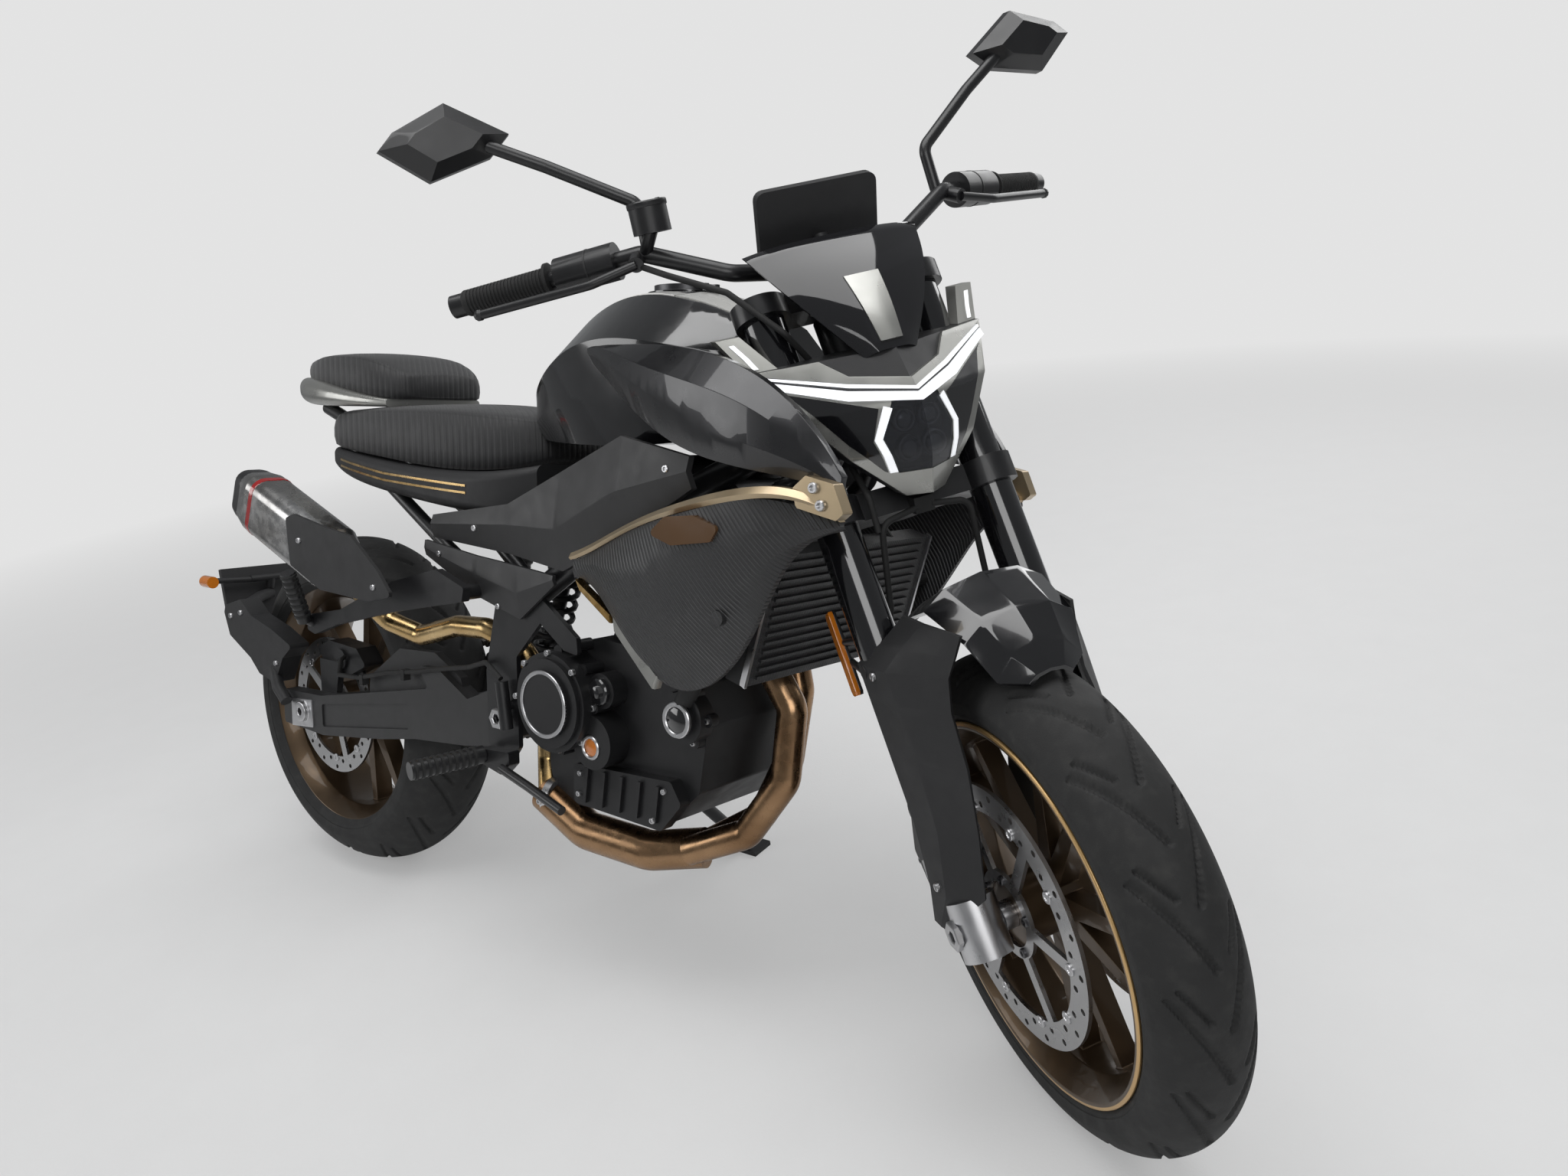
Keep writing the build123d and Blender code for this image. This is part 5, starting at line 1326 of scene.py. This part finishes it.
class MOTORCYCLE_OT_fasteners(bpy.types.Operator):
    """Socket-head bolts on covers, panels, guards and calipers"""

    bl_idname = "motorcycle.fasteners"
    bl_label = "Fasteners"

    def execute(self, context):
        meshes = {"chassis": bmesh.new(), "steering": bmesh.new()}
        for names, body, starts, radius, height, both in BOLTS:
            starts = starts + [flipped(start) for start in starts] * both
            add_bolts(meshes[body], names, body, starts, radius, height)
        for side in (-1, 1):
            add_ring(meshes["chassis"], (600, side * 157, 400), (0, side, 0), 8, 17, 7, 6)
        for body, bm in meshes.items():
            make_piece(f"{body}_bolts", bm, body, "aluminium", "steel")
        return {"FINISHED"}


# Trims laid on built panels

TANK_TOP_X = [690, 800, 915, 1026]
TANK_TOP_HALF = [72, 86, 86, 60]
# Reach of the filler's collar to each side, with a little room
COLLAR_HALF = 57
SEAT_LINE = [(140, 786), (300, 767), (520, 754)]
BRONZE_STRIP = [(834, 640), (902, 598), (902, 586), (842, 626)]
SILVER_STRIP = [(906, 598), (988, 526), (980, 508), (908, 578)]


def tank_panel_rows():
    """Start grids of the pale tank panels, round the filler's collar."""
    def half(x):
        return float(np.interp(x, TANK_TOP_X, TANK_TOP_HALF)) - 4

    grids = [[[(x, share * half(x), 1200) for share in spread(-1, 1, 25)] for x in places]
             for places in (spread(912, 1014, 14), spread(706, 792, 12))]
    for side in (-1, 1):
        grids.append([[(x, side * (COLLAR_HALF + (half(x) - COLLAR_HALF) * share), 1200)
                       for share in spread(0, 1, 6)] for x in spread(795, 909, 16)])
    return grids


class MOTORCYCLE_OT_trims(bpy.types.Operator):
    """Pale tank panels, gold seat lines and the metal strips behind the shrouds"""

    bl_idname = "motorcycle.trims"
    bl_label = "Trims"

    def execute(self, context):
        pale, gold, bronze, bright = new_meshes(4)
        tank, base = node_tree("fuel_tank"), node_tree("seat_base")
        for rows in tank_panel_rows():
            add_draped(pale, tank, "chassis", rows, (0, 0, -1), 1.4)
        for side in (-1, 1):
            for drop in (0, 11):
                edges = [[(x, side * 300, z - low) for x, z in SEAT_LINE] for low in (drop, drop + 3.5)]
                add_draped(gold, base, "chassis", band_rows(*edges), (0, -side, 0), 1.2)
            add_slab(bronze, BRONZE_STRIP, side * 190, side * 203)
            add_slab(bright, SILVER_STRIP, side * 188, side * 203)
        make_pieces("chassis", ("tank_panels", pale, "pale_paint", "silver"),
                    ("seat_lines", gold, "gold_steel", "champagne"),
                    ("shroud_bronze_strips", bronze, "gold_steel", "champagne"),
                    ("shroud_silver_strips", bright, "silver"))
        return {"FINISHED"}


# Studio

CAMERA_PLACE = (2039.21, -1245.38, 850.62)
VIEW_AZIMUTH = radians(130.46)
VIEW_ELEVATION = radians(-18.77)
VIEW_ROLL = radians(8.86)
PHOTO_WIDTH = 2048
LENS = 26.88
SHIFT_PIXELS = (-13.9, -6.8)
# Soft box: place and target in metres, width, height, power
SOFT_BOXES = [
    ((0.2, -0.3, 3.4), (0.0, -0.1, 0.5), 3.2, 2.2, 72),
    ((3.0, -2.6, 2.4), (0.3, -0.1, 0.6), 2.4, 1.8, 46),
    ((-2.8, -2.8, 2.0), (-0.2, -0.1, 0.5), 2.2, 1.6, 30),
    ((0.5, 3.4, 2.2), (0.0, 0.0, 0.6), 3.0, 1.6, 40),
]
BACKDROP = (0.77, 0.77, 0.77)
WORLD_LIGHT = (0.20, 0.205, 0.21)
# Share of the backdrop's own colour in what the camera sees of the floor near the machine
FLOOR_LIFT = 0.34
FADE_START, FADE_END = 1.8, 5.0
FLOOR_RADIUS = 30.0


def camera_matrix():
    """Place and turn of the camera from its azimuth, elevation and roll in the parked frame."""
    level = cos(VIEW_ELEVATION)
    forward = Vector((level * cos(VIEW_AZIMUTH), level * sin(VIEW_AZIMUTH), sin(VIEW_ELEVATION)))
    right = forward.cross(Vector(UP)).normalized()
    up = right.cross(forward)
    rolled = right * cos(VIEW_ROLL) - up * sin(VIEW_ROLL)
    upward = rolled.cross(forward)
    turn = Matrix((rolled, upward, -forward)).transposed().to_4x4()
    return Matrix.Translation(LEANED @ Vector(CAMERA_PLACE)) @ turn


def add_camera(scene):
    shift_x, shift_y = (pixels / PHOTO_WIDTH for pixels in SHIFT_PIXELS)
    data = give(bpy.data.cameras.new("photo_view"), lens=LENS, sensor_width=36.0, sensor_fit="HORIZONTAL",
                shift_x=shift_x, shift_y=shift_y)
    scene.camera = give(add_object("photo_view", data), matrix_world=camera_matrix())


def seen_directly(tree):
    """1 for what the camera sees, also through a clear piece, else 0."""
    path = tree.nodes.new("ShaderNodeLightPath")
    sockets = {0: path.outputs["Is Camera Ray"], 1: path.outputs["Is Transmission Ray"]}
    return add_node(tree, "Math", sockets, operation="MAXIMUM")


def add_world(scene):
    """Pale surround for the camera, darker where it lights the machine and shows in its gloss."""
    scene.world = bpy.data.worlds.new("studio")
    scene.world.use_nodes = True
    tree = scene.world.node_tree
    tree.nodes.clear()
    lit, shown = (add_node(tree, "Background", {"Color": colour}) for colour in (WORLD_LIGHT, BACKDROP))
    mix = add_node(tree, "MixShader", {"Fac": seen_directly(tree), 1: lit, 2: shown})
    fill(tree, tree.nodes.new("ShaderNodeOutputWorld"), {"Surface": mix})


def fade_floor(tree, shader, where):
    """For the camera, the floor takes the backdrop's colour with distance, so that no horizon shows."""
    far = remap(tree, measure(tree, "LENGTH", where), FLOOR_LIFT, 1.0, FADE_START, FADE_END)
    share = add_node(tree, "Math", {0: far, 1: seen_directly(tree)}, operation="MULTIPLY")
    glow = add_node(tree, "Emission", {"Color": BACKDROP})
    output = shader.outputs["BSDF"].links[0].to_node
    mix = add_node(tree, "MixShader", {"Fac": share, 1: shader.outputs["BSDF"], 2: glow})
    fill(tree, output, {"Surface": mix})


def add_soft_box(name, place, target, width, height, power):
    data = give(bpy.data.lights.new(name, "AREA"), shape="RECTANGLE", size=width, size_y=height, energy=power)
    turn = (Vector(target) - Vector(place)).to_track_quat("-Z", "Y").to_matrix().to_4x4()
    give(add_object(name, data), matrix_world=Matrix.Translation(place) @ turn, visible_camera=False)


class MOTORCYCLE_OT_stage(bpy.types.Operator):
    """Pale floor, soft boxes, surround and the camera of the photograph"""

    bl_idname = "motorcycle.stage"
    bl_label = "Studio"

    def execute(self, context):
        scene = context.scene
        settings = scene.motorcycle_stage
        scene.view_settings.view_transform = "Standard"
        fade_floor(*surface("floor", settings.floor, 0.0, 0.62, mottle=0.03, grain=0.0002, grain_scale=240))
        bm = bmesh.new()
        bmesh.ops.create_circle(bm, cap_ends=True, segments=64, radius=FLOOR_RADIUS)
        add_mesh("floor", bm, "floor")
        for index, (*box, power) in enumerate(SOFT_BOXES):
            add_soft_box(f"soft_box_{index}", *box, power * settings.light)
        add_world(scene)
        add_camera(scene)
        return {"FINISHED"}


# Add-on registration

SETTINGS = {
    "motorcycle_finish": FinishSettings,
    "motorcycle_tyre": TyreSettings,
    "motorcycle_seat": SeatSettings,
    "motorcycle_stage": StageSettings,
}
OPERATORS = [
    MOTORCYCLE_OT_finishes,
    MOTORCYCLE_OT_tyres,
    MOTORCYCLE_OT_seats,
    MOTORCYCLE_OT_chain,
    MOTORCYCLE_OT_headlight,
    MOTORCYCLE_OT_screen,
    MOTORCYCLE_OT_display,
    MOTORCYCLE_OT_handlebar,
    MOTORCYCLE_OT_mirrors,
    MOTORCYCLE_OT_fork,
    MOTORCYCLE_OT_wheels,
    MOTORCYCLE_OT_engine,
    MOTORCYCLE_OT_exhaust,
    MOTORCYCLE_OT_shock,
    MOTORCYCLE_OT_pegs,
    MOTORCYCLE_OT_fasteners,
    MOTORCYCLE_OT_trims,
    MOTORCYCLE_OT_stage,
]


class MOTORCYCLE_PT_panel(bpy.types.Panel):
    """Sidebar panel that lists the settings and steps"""

    bl_idname = "MOTORCYCLE_PT_panel"
    bl_label = "Parked motorcycle"
    bl_space_type = "VIEW_3D"
    bl_region_type = "UI"
    bl_category = "Motorcycle"

    def draw(self, context):
        for name, group in SETTINGS.items():
            for prop in group.__annotations__:
                self.layout.prop(getattr(context.scene, name), prop)
        for operator in OPERATORS:
            self.layout.operator(operator.bl_idname)


def register():
    for group in SETTINGS.values():
        bpy.utils.register_class(group)
    for name, group in SETTINGS.items():
        setattr(bpy.types.Scene, name, PointerProperty(type=group))
    for operator in OPERATORS:
        bpy.utils.register_class(operator)
    bpy.utils.register_class(MOTORCYCLE_PT_panel)


def unregister():
    bpy.utils.unregister_class(MOTORCYCLE_PT_panel)
    for operator in reversed(OPERATORS):
        bpy.utils.unregister_class(operator)
    for name in SETTINGS:
        delattr(bpy.types.Scene, name)
    for group in SETTINGS.values():
        bpy.utils.unregister_class(group)


def main():
    register()
    for operator in OPERATORS:
        family, step = operator.bl_idname.split(".")
        getattr(getattr(bpy.ops, family), step)()


if __name__ == "__main__":
    main()
